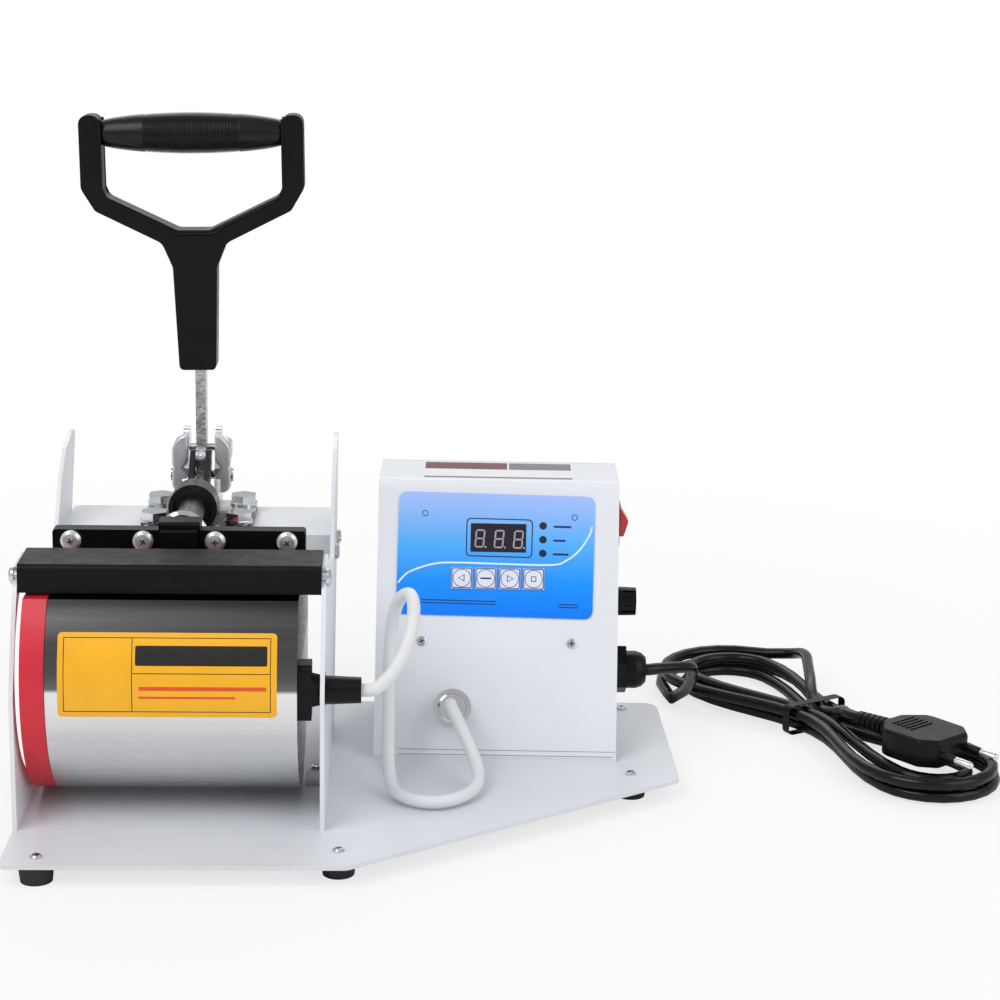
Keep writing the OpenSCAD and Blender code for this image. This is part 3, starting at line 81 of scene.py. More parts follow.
# ---- materials ----
class Nodes:
    """A material's node tree, with a short way to add nodes and links."""

    def __init__(self, name):
        self.material = bpy.data.materials.new(name)
        self.material.use_nodes = True
        self.tree = self.material.node_tree
        self.shader = self.tree.nodes["Principled BSDF"]
        self.place = self.add("ShaderNodeTexCoord").outputs["Object"]

    def add(self, kind, **values):
        node = self.tree.nodes.new(kind)
        for key, value in values.items():
            if hasattr(node, key):
                setattr(node, key, value)
            else:
                self.feed(node.inputs[key.replace("_", " ")], value)
        return node

    def feed(self, socket, value):
        if isinstance(value, bpy.types.NodeSocket):
            self.tree.links.new(value, socket)
        else:
            socket.default_value = value

    def math(self, operation, a, b=0.0, c=0.0):
        node = self.add("ShaderNodeMath", operation=operation)
        for socket, value in zip(node.inputs, (a, b, c)):
            self.feed(socket, value)
        return node.outputs[0]

    def axis(self, letter):
        node = self.add("ShaderNodeSeparateXYZ")
        self.feed(node.inputs[0], self.place)
        return node.outputs[letter]

    def noise(self, scale, detail=3.0, rough=0.5, stretch=None, place=None):
        vector = place or self.place
        if stretch:
            mapping = self.add("ShaderNodeMapping", Scale=stretch)
            self.feed(mapping.inputs["Vector"], vector)
            vector = mapping.outputs[0]
        texture = self.add("ShaderNodeTexNoise", Vector=vector, Scale=scale, Detail=detail, Roughness=rough)
        return texture.outputs[0]

    def ramp(self, factor, stops):
        node = self.add("ShaderNodeValToRGB")
        ramp = node.color_ramp
        while len(ramp.elements) < len(stops):
            ramp.elements.new(0.5)
        for element, (at, color) in zip(ramp.elements, stops):
            element.position = at
            element.color = (*color, 1)
        self.feed(node.inputs[0], factor)
        return node.outputs[0]

    def span(self, factor, start, end, low=0.0, high=1.0):
        node = self.add("ShaderNodeMapRange")
        self.feed(node.inputs["Value"], factor)
        node.inputs["From Min"].default_value = start
        node.inputs["From Max"].default_value = end
        node.inputs["To Min"].default_value = low
        node.inputs["To Max"].default_value = high
        return node.outputs[0]

    def spread(self, factor, low, high):
        return self.span(factor, 0.3, 0.7, low, high)

    def mix(self, factor, a, b, how="MIX"):
        node = self.add("ShaderNodeMix", data_type="RGBA", blend_type=how)
        for index, value in ((0, factor), (6, a), (7, b)):
            self.feed(node.inputs[index], value)
        return node.outputs[2]

    def bump(self, height, strength, distance, normal=None):
        node = self.add("ShaderNodeBump", Height=height, Strength=strength, Distance=distance)
        if normal is not None:
            self.feed(node.inputs["Normal"], normal)
        return node.outputs[0]


def finish(name, color, rough, metal=0.0, vary=0.05, vary_scale=30.0, rough_vary=0.06, grain=0.0,
           grain_scale=1500.0, depth=0.00006, stretch=None, dents=0.0, dent_scale=160.0, coat=0.0,
           coat_rough=0.1, specular=0.5, tint=None):
    """A finish whose colour, gloss and surface all vary a little, at the scale of the real one.
    tint(n) may give a colour that changes over the piece, which the small variation then multiplies; the jacket's
    is a painted reflection."""
    n = Nodes(name)
    base = color if tint is None else (1, 1, 1)
    dark = tuple(c * (1 - vary) for c in base)
    light = tuple(min(1, c * (1 + vary)) for c in base)
    shade = n.ramp(n.noise(vary_scale, 4, 0.5, stretch), [(0.3, dark), (0.7, light)])
    if tint is not None:
        shade = n.mix(1.0, tint(n), shade, "MULTIPLY")
    n.feed(n.shader.inputs["Base Color"], shade)
    fine = n.noise(grain_scale, 2, 0.6, stretch)
    gloss = n.noise(vary_scale * 5, 3, 0.5, stretch)
    n.feed(n.shader.inputs["Roughness"], n.spread(gloss, rough - rough_vary, rough + rough_vary))
    n.shader.inputs["Metallic"].default_value = metal
    n.shader.inputs["Coat Weight"].default_value = coat
    n.shader.inputs["Coat Roughness"].default_value = coat_rough
    n.shader.inputs["Specular IOR Level"].default_value = specular
    normal = None
    if dents:
        normal = n.bump(n.noise(dent_scale, 2, 0.4), dents, 0.0008)
    if grain:
        normal = n.bump(fine, grain, depth, normal)
    if normal is not None:
        n.feed(n.shader.inputs["Normal"], normal)
    return n.material


def grey(value):
    return (value, value, value * 1.01)


def jacket_painted_reflection(n):
    """Brushed sheet with a painted reflection: dark in its upper part, where it mirrors the bar over it, and pale
    where it mirrors the floor below, darker towards its foot.
    """
    height = n.span(n.axis("Z"), 0.0, 0.12)
    return n.ramp(height, [
        (0.08, grey(0.5)), (0.2, grey(0.62)), (0.36, grey(0.74)), (0.56, grey(0.84)), (0.625, grey(0.9)),
        (0.64, grey(0.16)), (0.74, grey(0.13)), (0.86, grey(0.09)), (0.93, grey(0.03))])


def clamp_tint(n):
    """A dark barrel and a black foot, with bright wings and cheeks behind them."""
    behind = n.ramp(n.axis("Y"), [(0.088, grey(0.07)), (0.0925, grey(0.9))])
    foot = n.ramp(n.axis("Z"), [(0.1125, (1, 1, 1)), (0.1135, (0, 0, 0))])
    return n.mix(foot, behind, (0.01, 0.01, 0.011, 1))


def film_tint(n):
    """Printed film, pale at its top and strong blue at its foot."""
    height = n.span(n.axis("Z"), 0.0767, 0.1337)
    return n.ramp(height, [
        (0.0, (0.0, 0.2, 0.96)), (0.3, (0.01, 0.3, 0.97)), (0.62, (0.1, 0.44, 0.96)), (1.0, (0.38, 0.53, 0.96))])


WHITE = finish("white_powder_coat", (0.76, 0.78, 0.82), 0.4, vary=0.015, grain=0.3,
               grain_scale=900, coat=0.1)
BASE_WHITE = finish("base_powder_coat", (0.7, 0.72, 0.76), 0.42, vary=0.02, grain=0.45,
                    grain_scale=900, coat=0.1)
BLACK_PAINT = finish("black_satin_paint", (0.004, 0.004, 0.0045), 0.4, vary=0.2, grain=0.5,
                     grain_scale=1300, specular=0.15)
BAR_BLACK = finish("black_bar", (0.003, 0.003, 0.0035), 0.36, vary=0.25, grain=0.4,
                   grain_scale=1800, specular=0.15)
BLACK_PLASTIC = finish("black_moulded_plastic", (0.003, 0.003, 0.0035), 0.34, vary=0.2, grain=0.4,
                       grain_scale=1600, specular=0.2)
GRIP_PLASTIC = finish("black_grip_plastic", (0.005, 0.005, 0.0055), 0.3, vary=0.2, grain=0.3,
                      grain_scale=1600, specular=0.3)
RUBBER = finish("black_rubber", (0.012, 0.012, 0.012), 0.6, vary=0.2, grain=0.8, grain_scale=1200)
CORD_BLACK = finish("black_cord_sheath", (0.003, 0.003, 0.0035), 0.24, vary=0.2, grain=0.2,
                    grain_scale=1400, specular=0.3)
CORD_WHITE = finish("white_cord_sheath", (0.74, 0.75, 0.76), 0.42, vary=0.03, grain=0.3, grain_scale=900)
ZINC = finish("bright_zinc", (0.66, 0.67, 0.69), 0.26, 1.0, vary=0.12, vary_scale=80, grain=0.4,
              grain_scale=700)
CAST = finish("zinc_casting", (1, 1, 1), 0.3, 1.0, vary=0.2, vary_scale=60, dents=0.35,
              dent_scale=220, tint=clamp_tint)
HAMMERED = finish("hammered_zinc", (0.6, 0.6, 0.63), 0.34, 1.0, vary=0.3, vary_scale=300,
                  dents=0.6, dent_scale=520)
CHROME = finish("chrome", (0.74, 0.75, 0.77), 0.12, 1.0, vary=0.05, rough_vary=0.04, grain=0.15,
                grain_scale=900)
DARK_STEEL = finish("blackened_steel", (0.05, 0.05, 0.055), 0.4, 0.8, vary=0.25, grain=0.4)
PLUNGER = finish("ground_rod", (0.2, 0.2, 0.21), 0.3, 1.0, vary=0.2, grain=0.3)
SPRING = finish("spring_steel", (0.4, 0.4, 0.42), 0.35, 1.0, vary=0.1, grain=0.4, stretch=(1, 12, 12))
# The jacket's steel has a painted reflection in its colour: dark in its upper part, pale lower down.
STEEL = finish("brushed_stainless_painted_reflection", (1, 1, 1), 0.27, 1.0, vary=0.06, vary_scale=60, grain=0.3, grain_scale=900,
               stretch=(0.04, 1, 1), depth=0.00003, tint=jacket_painted_reflection)
SILICONE = finish("red_silicone", (0.6, 0.012, 0.03), 0.45, vary=0.08, grain=0.3, grain_scale=700, coat=0.1)
FELT = finish("ceramic_felt", (0.7, 0.66, 0.58), 0.95, vary=0.15, vary_scale=200, grain=1.0,
              grain_scale=1500, depth=0.0004)
WINDOW = finish("smoked_window", (0.014, 0.01, 0.02), 0.14, vary=0.1, rough_vary=0.03, coat=0.3,
                coat_rough=0.06, specular=0.3)
LAMP = finish("unlit_lamp", (0.006, 0.014, 0.05), 0.25, vary=0.2, coat=0.2)
RED = finish("red_rocker", (0.55, 0.006, 0.008), 0.22, vary=0.1, coat=0.4, coat_rough=0.08)
BOARD = finish("green_board", (0.02, 0.16, 0.06), 0.4, vary=0.2, vary_scale=300)
WOUND = finish("wound_copper", (0.45, 0.2, 0.07), 0.45, vary=0.3, vary_scale=300, grain=1,
               stretch=(1, 1, 8))
FILM = finish("blue_film", (1, 1, 1), 0.4, vary=0.03, specular=0.25, tint=film_tint)
KEY = finish("pale_key", (0.68, 0.73, 0.9), 0.4, vary=0.04, specular=0.3)
NAVY = finish("navy_ink", (0.006, 0.02, 0.12), 0.4, vary=0.15, vary_scale=200)
WHITE_INK = finish("white_ink", (0.8, 0.86, 0.95), 0.4, vary=0.03, vary_scale=200)
KEY_FIELD = finish("key_field", (0.74, 0.77, 0.9), 0.4, vary=0.03, vary_scale=200, specular=0.3)
WING = finish("bright_wing", (0.66, 0.67, 0.7), 0.38, 0.7, vary=0.08, vary_scale=80, grain=0.3,
              grain_scale=700)
SCREW = finish("bright_screw", (0.72, 0.73, 0.75), 0.34, 0.8, vary=0.1, vary_scale=150, grain=0.3,
               grain_scale=700)
SEGMENT = finish("unlit_segment", (0.36, 0.31, 0.36), 0.4, vary=0.08, vary_scale=300)
ORANGE = finish("orange_label", (0.9, 0.44, 0.005), 0.36, vary=0.04, vary_scale=60, grain=0.2,
                grain_scale=900, coat=0.15)
LABEL_BLACK = finish("label_black_ink", (0.008, 0.007, 0.006), 0.4, vary=0.2, vary_scale=200)
LABEL_RED = finish("label_red_ink", (0.72, 0.08, 0.008), 0.4, vary=0.08, vary_scale=200)
PAPER = finish("paper_label", (0.78, 0.78, 0.8), 0.5, vary=0.03, vary_scale=100)
MAROON = finish("maroon_ink", (0.12, 0.01, 0.02), 0.45, vary=0.1, vary_scale=100)
GREY_INK = finish("grey_ink", (0.16, 0.16, 0.18), 0.45, vary=0.1, vary_scale=100)
# grey lines of painted shadow in the box's seams
PAINTED_SEAM_SHADOW = finish("seam_shadow", (0.3, 0.31, 0.34), 0.6, vary=0.08, vary_scale=100)
PIN = finish("nickelled_pin", (0.75, 0.73, 0.7), 0.2, 1.0, vary=0.06, grain=0.2)

LOOKS = {
    "base_plate": BASE_WHITE, "rubber_feet": RUBBER, "foot_screws": ZINC, "foot_nuts": ZINC,
    "left_side_plate": WHITE, "right_side_plate": WHITE, "base_screws": ZINC, "side_screws": ZINC,
    "front_guard": BLACK_PAINT, "front_bar": BAR_BLACK, "front_bar_screws": ZINC, "heater_jacket": STEEL,
    "insulation_felt": FELT, "heater_band": SPRING, "heating_mat": SILICONE, "cable_boot": BLACK_PLASTIC,
    "rear_bridge": WHITE, "moving_bar": BAR_BLACK, "moving_bar_screws": SCREW, "push_block": BAR_BLACK,
    "plunger": PLUNGER, "plunger_pin": ZINC, "adjusting_wheel": CHROME, "clamp_body": CAST, "clamp_bolts": CHROME,
    "clamp_nuts": ZINC, "pivot_pin": CHROME, "stop_pin": CHROME, "lever": HAMMERED, "link_pin": ZINC,
    "link_plates": DARK_STEEL, "handle_frame": BLACK_PLASTIC, "handle_grip": GRIP_PLASTIC, "grip_bolts": DARK_STEEL,
    "box_shell": WHITE, "box_tray": WHITE, "printed_panel": FILM, "display_window": WINDOW,
    "indicator_lamps": LAMP, "key_left": KEY, "key_mode": KEY, "key_right": KEY, "key_stop": KEY,
    "panel_screws": ZINC, "control_board": BOARD, "transformer": WOUND, "power_relay": DARK_STEEL,
    "rocker_bezel": BLACK_PLASTIC, "rocker_switch": RED, "fuse_holder": BLACK_PLASTIC, "fuse_cap": BLACK_PLASTIC,
    "panel_socket": CHROME, "lead_plug": CHROME, "cable_gland": BLACK_PLASTIC, "heater_lead": CORD_WHITE,
    "mains_lead": CORD_BLACK, "mains_hank": CORD_BLACK, "cord_tie": BLACK_PLASTIC, "mains_plug": BLACK_PLASTIC,
}
for node_name, look in LOOKS.items():
    materials = NODES[node_name].data.materials
    materials.clear()
    materials.append(look)

# width of the rounded edges that the CAD solids get, in millimetres
EDGES = {
    "base_plate": 0.5, "left_side_plate": 0.4, "right_side_plate": 0.4, "front_guard": 0.7, "front_bar": 0.5,
    "moving_bar": 0.6, "push_block": 0.8, "handle_frame": 1.5, "rear_bridge": 0.5, "box_shell": 0.5,
    "clamp_body": 0.4, "rocker_bezel": 0.5, "rocker_switch": 0.5, "key_left": 0.25, "key_mode": 0.25,
    "key_right": 0.25, "key_stop": 0.25, "link_plates": 0.3, "lever": 0.5, "cable_gland": 0.4, "clamp_bolts": 0.4,
}
for node_name, width in EDGES.items():
    bevel = NODES[node_name].modifiers.new("edges", "BEVEL")
    bevel.width = width / 1000
    bevel.segments = 2
    bevel.limit_method = "ANGLE"
    bevel.angle_limit = math.radians(40)


# ---- ways to build pieces ----
def piece(name, bm, look, body, smooth=40):
    """A mesh that rides on a body. bm is in metres in the row frame."""
    bmesh.ops.recalc_face_normals(bm, faces=bm.faces)
    mesh = bpy.data.meshes.new(name)
    bm.to_mesh(mesh)
    bm.free()
    mesh.polygons.foreach_set("use_smooth", [True] * len(mesh.polygons))
    mesh.set_sharp_from_angle(angle=math.radians(smooth))
    mesh.materials.append(look)
    obj = bpy.data.objects.new(name, mesh)
    scene.collection.objects.link(obj)
    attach(obj, body)
    return obj


def prism(bm, place, outer, low, high, inner=None):
    """A flat shape with sides, from low to high in the place's own Z, with an optional hole of as many points."""
    rings = [outer, inner] if inner else [outer]
    loops = [[bm.verts.new(place(x, y, z)) for x, y in ring] for ring in rings for z in (low, high)]
    count = len(outer)
    around = [(i, (i + 1) % count) for i in range(count)]
    for i, j in around:
        bm.faces.new((loops[0][i], loops[0][j], loops[1][j], loops[1][i]))
        if inner:
            bm.faces.new((loops[2][i], loops[3][i], loops[3][j], loops[2][j]))
            bm.faces.new((loops[1][i], loops[1][j], loops[3][j], loops[3][i]))
            bm.faces.new((loops[0][i], loops[2][i], loops[2][j], loops[0][j]))
    if not inner:
        bm.faces.new(loops[1])
        bm.faces.new(loops[0][::-1])


def on(matrix):
    return lambda x, y, z: matrix @ Vector((x, y, z))


def rect(x0, y0, x1, y1, r=0.0, steps=4):
    """The outline of a rectangle with rounded corners, counterclockwise."""
    if not r:
        return [(x0, y0), (x1, y0), (x1, y1), (x0, y1)]
    centres = [(x1 - r, y0 + r, -90), (x1 - r, y1 - r, 0), (x0 + r, y1 - r, 90), (x0 + r, y0 + r, 180)]
    turns = [(cx, cy, math.radians(a + 90 * k / steps)) for cx, cy, a in centres for k in range(steps + 1)]
    return [(cx + r * math.cos(a), cy + r * math.sin(a)) for cx, cy, a in turns]


def disc(x, y, r, count=32):
    turns = [2 * math.pi * i / count for i in range(count)]
    return [(x + r * math.cos(a), y + r * math.sin(a)) for a in turns]


def strip(points, width):
    """The outline of a line of that width through the points."""
    sides = []
    for i, (x, y) in enumerate(points):
        a, b = points[max(i - 1, 0)], points[min(i + 1, len(points) - 1)]
        along = Vector((b[0] - a[0], b[1] - a[1])).normalized() * width / 2
        sides.append(((x - along.y, y + along.x), (x + along.y, y - along.x)))
    return [s[1] for s in sides] + [s[0] for s in reversed(sides)]


def art(name, place, shapes, low, high, look, body="root"):
    """Printed or raised shapes, each an outline or an (outer, inner) pair of outlines."""
    bm = bmesh.new()
    for shape in shapes:
        outer, inner = shape if isinstance(shape, tuple) else (shape, None)
        prism(bm, place, outer, low, high, inner)
    return piece(name, bm, look, body)


def lathe(bm, place, profile, count=64):
    """A solid turned about the place's X axis, from (x, radius) pairs, closed at both ends."""
    rings = []
    for x, r in profile:
        turns = [2 * math.pi * i / count for i in range(count)]
        rings.append([bm.verts.new(place(x, r * math.cos(a), r * math.sin(a))) for a in turns])
    for a, b in zip(rings, rings[1:]):
        for i in range(count):
            j = (i + 1) % count
            bm.faces.new((a[i], a[j], b[j], b[i]))
    bm.faces.new(rings[0])
    bm.faces.new(rings[-1][::-1])


def curve(points, steps):
    """A smooth line through the points, as in the CAD source."""
    line = []
    for i in range(len(points) - 1):
        a, b = Vector(points[max(i - 1, 0)]), Vector(points[i])
        c, d = Vector(points[i + 1]), Vector(points[min(i + 2, len(points) - 1)])
        for k in range(steps):
            t = k / steps
            line.append(0.5 * (2 * b + (c - a) * t + (2 * a - 5 * b + 4 * c - d) * t * t
                               + (3 * b - a - 3 * c + d) * t * t * t))
    return line + [Vector(points[-1])]


def tube(name, line, radius, look, body="root", matrix=PRESS, closed=False):
    """A round line of one spline through the points, given in millimetres."""
    data = bpy.data.curves.new(name, "CURVE")
    data.dimensions = "3D"
    data.bevel_depth = radius / 1000
    data.bevel_resolution = 6
    data.use_fill_caps = True
    spline = data.splines.new("POLY")
    spline.points.add(len(line) - 1)
    spline.use_cyclic_u = closed
    spline.use_smooth = True
    for point, at in zip(spline.points, line):
        point.co = (*(matrix @ Vector(at)), 1)
    data.materials.append(look)
    obj = bpy.data.objects.new(name, data)
    scene.collection.objects.link(obj)
    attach(obj, body)
    return obj


# ---- the heater's lead: from the boot up, over and down to its plug on the box ----
BOX_PRESS = shift(*BOX_AT) @ turn(BOX_TURN, "Z")
FRONT_PRESS = BOX_PRESS @ shift(0, 0, BOX_Z0) @ turn(90 - LEAN, "X")
SOCKET = (-20.9, 24)


def front_point(u, v, w):
    return FRONT_PRESS @ Vector((u, v, w))


lead_points = [
    (78, -63.5, 63), (85, -63.5, 63), (92, -63, 64), (100, -60, 72), (106, -54, 84), (108, -44, 95),
    (106, -31, 98), (101, -19, 91), (98, -13, 76), (97, -12, 55), (97, -13, 34), (97, -19, 15),
    (99, -31, 5), (106, -43, 4), (118, -48, 4), (130, -42, 4), (138, -29, 5), (138, -14, 11),
    front_point(*SOCKET, 25), front_point(*SOCKET, 17.5), front_point(*SOCKET, 10.2)]
lead_line = curve(lead_points, 6)
heater_lead = tube("heater_lead_cord", lead_line, 3, CORD_WHITE)
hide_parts("heater_lead")

# ---- the mains lead: out of the gland, into a tied hank on the floor, and over it to its plug ----
CORD_R = 3.0
HANK_MID = Vector((322.5, 86.5, 0))
HANK_DIR = -60.5
HANK_LEN = 236
FOLD_R = 18
HANK_STEP = 13.4
WAIST_DRAW = 0.5
WAIST_CLOSE = 5
LAYER = 6.7
HANK_START, HANK_END = -0.23, 2.95
HANK_Z = FLOOR_Z + CORD_R + 0.4 + 0.8
HANK_TURN = (HANK_START + HANK_END) / 2
RUN_HALF = HANK_LEN / 2 - FOLD_R - HANK_STEP * (HANK_END - HANK_TURN)
HANK = Matrix.Translation(HANK_MID) @ turn(HANK_DIR, "Z")


def hank_at(x, y, z):
    return HANK @ Vector((x, y, z))


def hank_over(x, y, z):
    return hank_at(x, y, HANK_Z + z)


def hank_point(s):
    """The place on the hank after s turns, which is drawn in at its waist by the tie."""
    q = 4 * (s - math.floor(s))
    f = q - math.floor(q)
    r = FOLD_R + HANK_STEP * abs(s - HANK_TURN)
    x = (2 * f - 1 if q < 1 else 1 - 2 * f) * RUN_HALF
    inward = math.cos(math.pi / 2 * x / RUN_HALF) ** 2
    drawn = r * (1 - WAIST_DRAW * inward) - WAIST_CLOSE * inward
    bend = math.pi * f
    if q < 1:
        at = (x, drawn)
    elif q < 2:
        at = (RUN_HALF + r * math.sin(bend), r * math.cos(bend))
    elif q < 3:
        at = (x, -drawn)
    else:
        at = (-RUN_HALF - r * math.sin(bend), -r * math.cos(bend))
    climb = LAYER * max(0, min(1, (s - HANK_TURN) * 2 + 0.5))
    return hank_over(*at, climb)


hank_steps = round(48 * (HANK_END - HANK_START))
hank_body = [hank_point(HANK_START + (HANK_END - HANK_START) * i / hank_steps) for i in range(hank_steps + 1)]
in_dir = (hank_body[1] - hank_body[0]).normalized()
out_dir = (hank_body[-1] - hank_body[-2]).normalized()
hank_in = hank_body[0] - 2 * CORD_R * in_dir
hank_out = hank_body[-1] + 2 * CORD_R * out_dir
PLUG_DIR = -52
RELIEF_L = 22
PLUG_T = 14
plug_z = HANK_Z + LAYER + CORD_R + PLUG_T / 2 + 0.4
relief_start = hank_at(36, -8.5, plug_z)
plug_axis = Vector((math.cos(math.radians(PLUG_DIR)), math.sin(math.radians(PLUG_DIR)), 0))
GLAND = (59 + 16.5, 50, 31)


def gland_point(out, down=0.0):
    return BOX_PRESS @ Vector((GLAND[0] + out, GLAND[1], GLAND[2] - down))


route_in = curve([gland_point(-5), gland_point(1), gland_point(8.5) + Vector((0, 3.5, -0.4)), (250, 80, 27.5),
                  (253, 93, 20), (254, 106, 11), (253, 118, 2.5), (250.5, 128, -3.5), hank_in - 9 * in_dir], 6)
route_out = curve([
    hank_out + 2 * out_dir, hank_over(-85, 45.5, 8.6), hank_over(-75, 44.5, 11.7), hank_over(-64, 39, 13.6),
    hank_over(-53, 31, 13.9), hank_over(-43, 23.7, 13.9), hank_over(-32, 15.7, 13.5), hank_over(-22.5, 8.7, 11.8),
    hank_over(-14, 4, 8.8), hank_over(-5, 1.4, 7.3), hank_over(4, 0.8, 8.6), hank_over(12, -1.2, 11.9),
    hank_over(20, -5.2, 15.5), relief_start - 8.4 * plug_axis], 6)
mains_line = route_in + [hank_in] + hank_body + [hank_out] + route_out + [relief_start]

# the plug, drawn along its own X axis from where its relief starts
PLUG = PRESS @ Matrix.Translation(relief_start) @ turn(PLUG_DIR, "Z")
BODY_L, BODY_W = 38, 35
PIN_L, PIN_R, PIN_GAP, SLEEVE_L = 19, 2.0, 19, 9.5
relief = []
for i in range(45):
    x = i * 0.5
    taper = 3.8 + (5.4 - 3.8) * x / RELIEF_L
    ribbed = 0.75 if 3 < x < 20 and (x % 3.4) < 1.1 else 0.0
    relief.append((x, taper - ribbed))
bm = bmesh.new()
lathe(bm, on(PLUG), relief, 40)
plug_relief = piece("plug_relief", bm, BLACK_PLASTIC, "root", 50)
bm = bmesh.new()
outline = [(RELIEF_L - 1, -6), (RELIEF_L + 7, -BODY_W / 2 + 1), (RELIEF_L + 11, -BODY_W / 2),
           (RELIEF_L + BODY_L - 8, -BODY_W / 2), (RELIEF_L + BODY_L, -BODY_W / 2 + 7)]
prism(bm, on(PLUG), outline + [(x, -y) for x, y in reversed(outline)], -PLUG_T / 2, PLUG_T / 2)
plug_body = piece("plug_body", bm, BLACK_PLASTIC, "root", 60)
rounding = plug_body.modifiers.new("edges", "BEVEL")
rounding.width = 0.0018
rounding.segments = 3
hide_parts("mains_plug")
plug_ribs = art("plug_ribs", on(PLUG), [rect(x, -8, x + 1.3, 8, 0.6) for x in (27.5, 30.3, 33.1, 35.9, 38.7)],
                PLUG_T / 2 - 0.4, PLUG_T / 2 + 0.5, BLACK_PLASTIC)
bm = bmesh.new()
sleeves = bmesh.new()
PIN_START = RELIEF_L + BODY_L - 0.5
for side in (-1, 1):
    pin_place = on(PLUG @ shift(0, side * PIN_GAP / 2, 0))
    tip = PIN_START + 0.5 + PIN_L
    lathe(bm, pin_place, [(PIN_START, PIN_R - 0.1), (tip - 1.6, PIN_R - 0.1), (tip - 0.8, PIN_R - 0.45),
                          (tip - 0.2, PIN_R - 1.1), (tip, 0.3)], 24)
    lathe(sleeves, pin_place, [(PIN_START, PIN_R), (PIN_START + SLEEVE_L, PIN_R),
                               (PIN_START + SLEEVE_L + 0.3, PIN_R - 0.2)], 24)
plug_pins = piece("plug_pins", bm, PIN, "root")
plug_sleeves = piece("plug_sleeves", sleeves, BLACK_PLASTIC, "root")

mains_lead = tube("mains_cord", mains_line, CORD_R, CORD_BLACK)
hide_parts("mains_lead", "mains_hank")

# ---- handle: raised inner rim on both faces, and a turned grip with rings ----
PIVOT = (116, 118)
LEANING = PRESS @ shift(0, 0, PIVOT[1]) @ turn(-1, "Y") @ shift(0, 0, -PIVOT[1])
STEM_Z, POST_TOP, GRIP_Z, HANDLE_W, HANDLE_T, POST_W = 173.5, 300.5, 291.3, 110, 14, 10.6
HIP = STEM_Z + 80
RIM_IN, RIM_R = 0.9, 0.8
half = HANDLE_W / 2
post = half - POST_W
inner = [(post - 0.5, POST_TOP - 1), (post - 0.5, HIP + 12), (post - 2.2, HIP + 8), (post - 6, HIP + 5),
         (14, STEM_Z + 73.5), (9.5, STEM_Z + 70), (7, STEM_Z + 69.5)]
rim = inner + [(-x, z) for x, z in reversed(inner)]
for side, name in ((-1, "handle_rim_front"), (1, "handle_rim_rear")):
    line = [(x + (RIM_IN if x > 0 else -RIM_IN), PIVOT[0] + side * HANDLE_T / 2, z - RIM_IN) for x, z in rim]
    tube(name, line, RIM_R, BLACK_PLASTIC, "lever", LEANING)
GRIP_HALF, GRIP_R, GRIP_END_R, RIBBED, RINGS = 44.3, 10.2, 5.8, 23.5, 35
grip = []
steps = 8 * RINGS
for i in range(-steps, steps + 1):
    t = i / steps
    x = GRIP_HALF * t
    r = GRIP_END_R + (GRIP_R - GRIP_END_R) * max(0.0, math.cos(t * math.pi / 2)) ** 0.6
    if abs(x) < RIBBED:
        r -= 0.28 * (1 - math.cos(2 * math.pi * (x + RIBBED) * RINGS / (2 * RIBBED)))
    grip.append((x, r))
bm = bmesh.new()
lathe(bm, on(LEANING @ shift(0, PIVOT[0], GRIP_Z)), grip, 64)
grip_piece = piece("ringed_grip", bm, GRIP_PLASTIC, "lever", 75)
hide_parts("handle_grip")

# ---- clamp: the formed wings' front faces, pinched in at their middle on each side ----
WING_FRONT, WING_REAR = 109.4, 114.6
wing = [(6.9, 110.6), (11.4, 109.6), (14.0, 111.4), (14.8, 114.6), (14.8, 121.2), (14.2, 122.8), (14.8, 124.4),
        (14.8, 132.4), (13.4, 135.6), (10.6, 138.6), (6.9, 140.2), (6.9, 126.6), (9.8, 122.9), (6.9, 119.4)]
bm = bmesh.new()
for side in (-1, 1):
    prism(bm, on(PRESS @ turn(90, "X")), [(side * x, z) for x, z in wing], -WING_REAR, -WING_FRONT)
wings = piece("clamp_wing_faces", bm, WING, "root", 30)
rounding = wings.modifiers.new("edges", "BEVEL")
rounding.width = 0.0009
rounding.segments = 3

# ---- plain sticker on the heater's jacket ----
JACKET_R, JACKET_Y, JACKET_Z = 58.5, -17, 61.5


def on_jacket(x, arc, out):
    """A place on the jacket, arc millimetres up from its foremost line."""
    a = arc / JACKET_R
    r = JACKET_R + out
    return PRESS @ Vector((x, JACKET_Y - r * math.cos(a), JACKET_Z + r * math.sin(a)))


def wrap(name, boxes, low, high, look, corner=0.0):
    """Flat boxes (x0, arc0, x1, arc1) bent round the jacket, with rounded corners."""
    bm = bmesh.new()
    for x0, y0, x1, y1 in boxes:
        rows = max(2, round((y1 - y0) / 1.5))
        heights = [y0 + (y1 - y0) * i / rows for i in range(rows + 1)]
        if corner:
            bends = [corner * (1 - math.cos(math.radians(a))) for a in (0, 30, 60, 90)]
            heights = sorted({round(h, 4) for h in heights if y0 + corner < h < y1 - corner}
                             | {y0 + b for b in bends} | {y1 - b for b in bends})
        bottom, top = [], []
        for y in heights:
            near = min(y - y0, y1 - y)
            pull = corner - math.sqrt(max(0.0, corner ** 2 - (corner - near) ** 2)) if near < corner else 0.0
            for level, out in ((bottom, low), (top, high)):
                level.append([bm.verts.new(on_jacket(x, y, out)) for x in (x0 + pull, x1 - pull)])
        for level in (bottom, top):
            for a, b in zip(level, level[1:]):
                bm.faces.new((a[0], a[1], b[1], b[0]))
        for a, b, c, d in zip(bottom, bottom[1:], top, top[1:]):
            bm.faces.new((a[0], b[0], d[0], c[0]))
            bm.faces.new((a[1], b[1], d[1], c[1]))
        for i in (0, -1):
            bm.faces.new((bottom[i][0], bottom[i][1], top[i][1], top[i][0]))
    return piece(name, bm, look, "root")


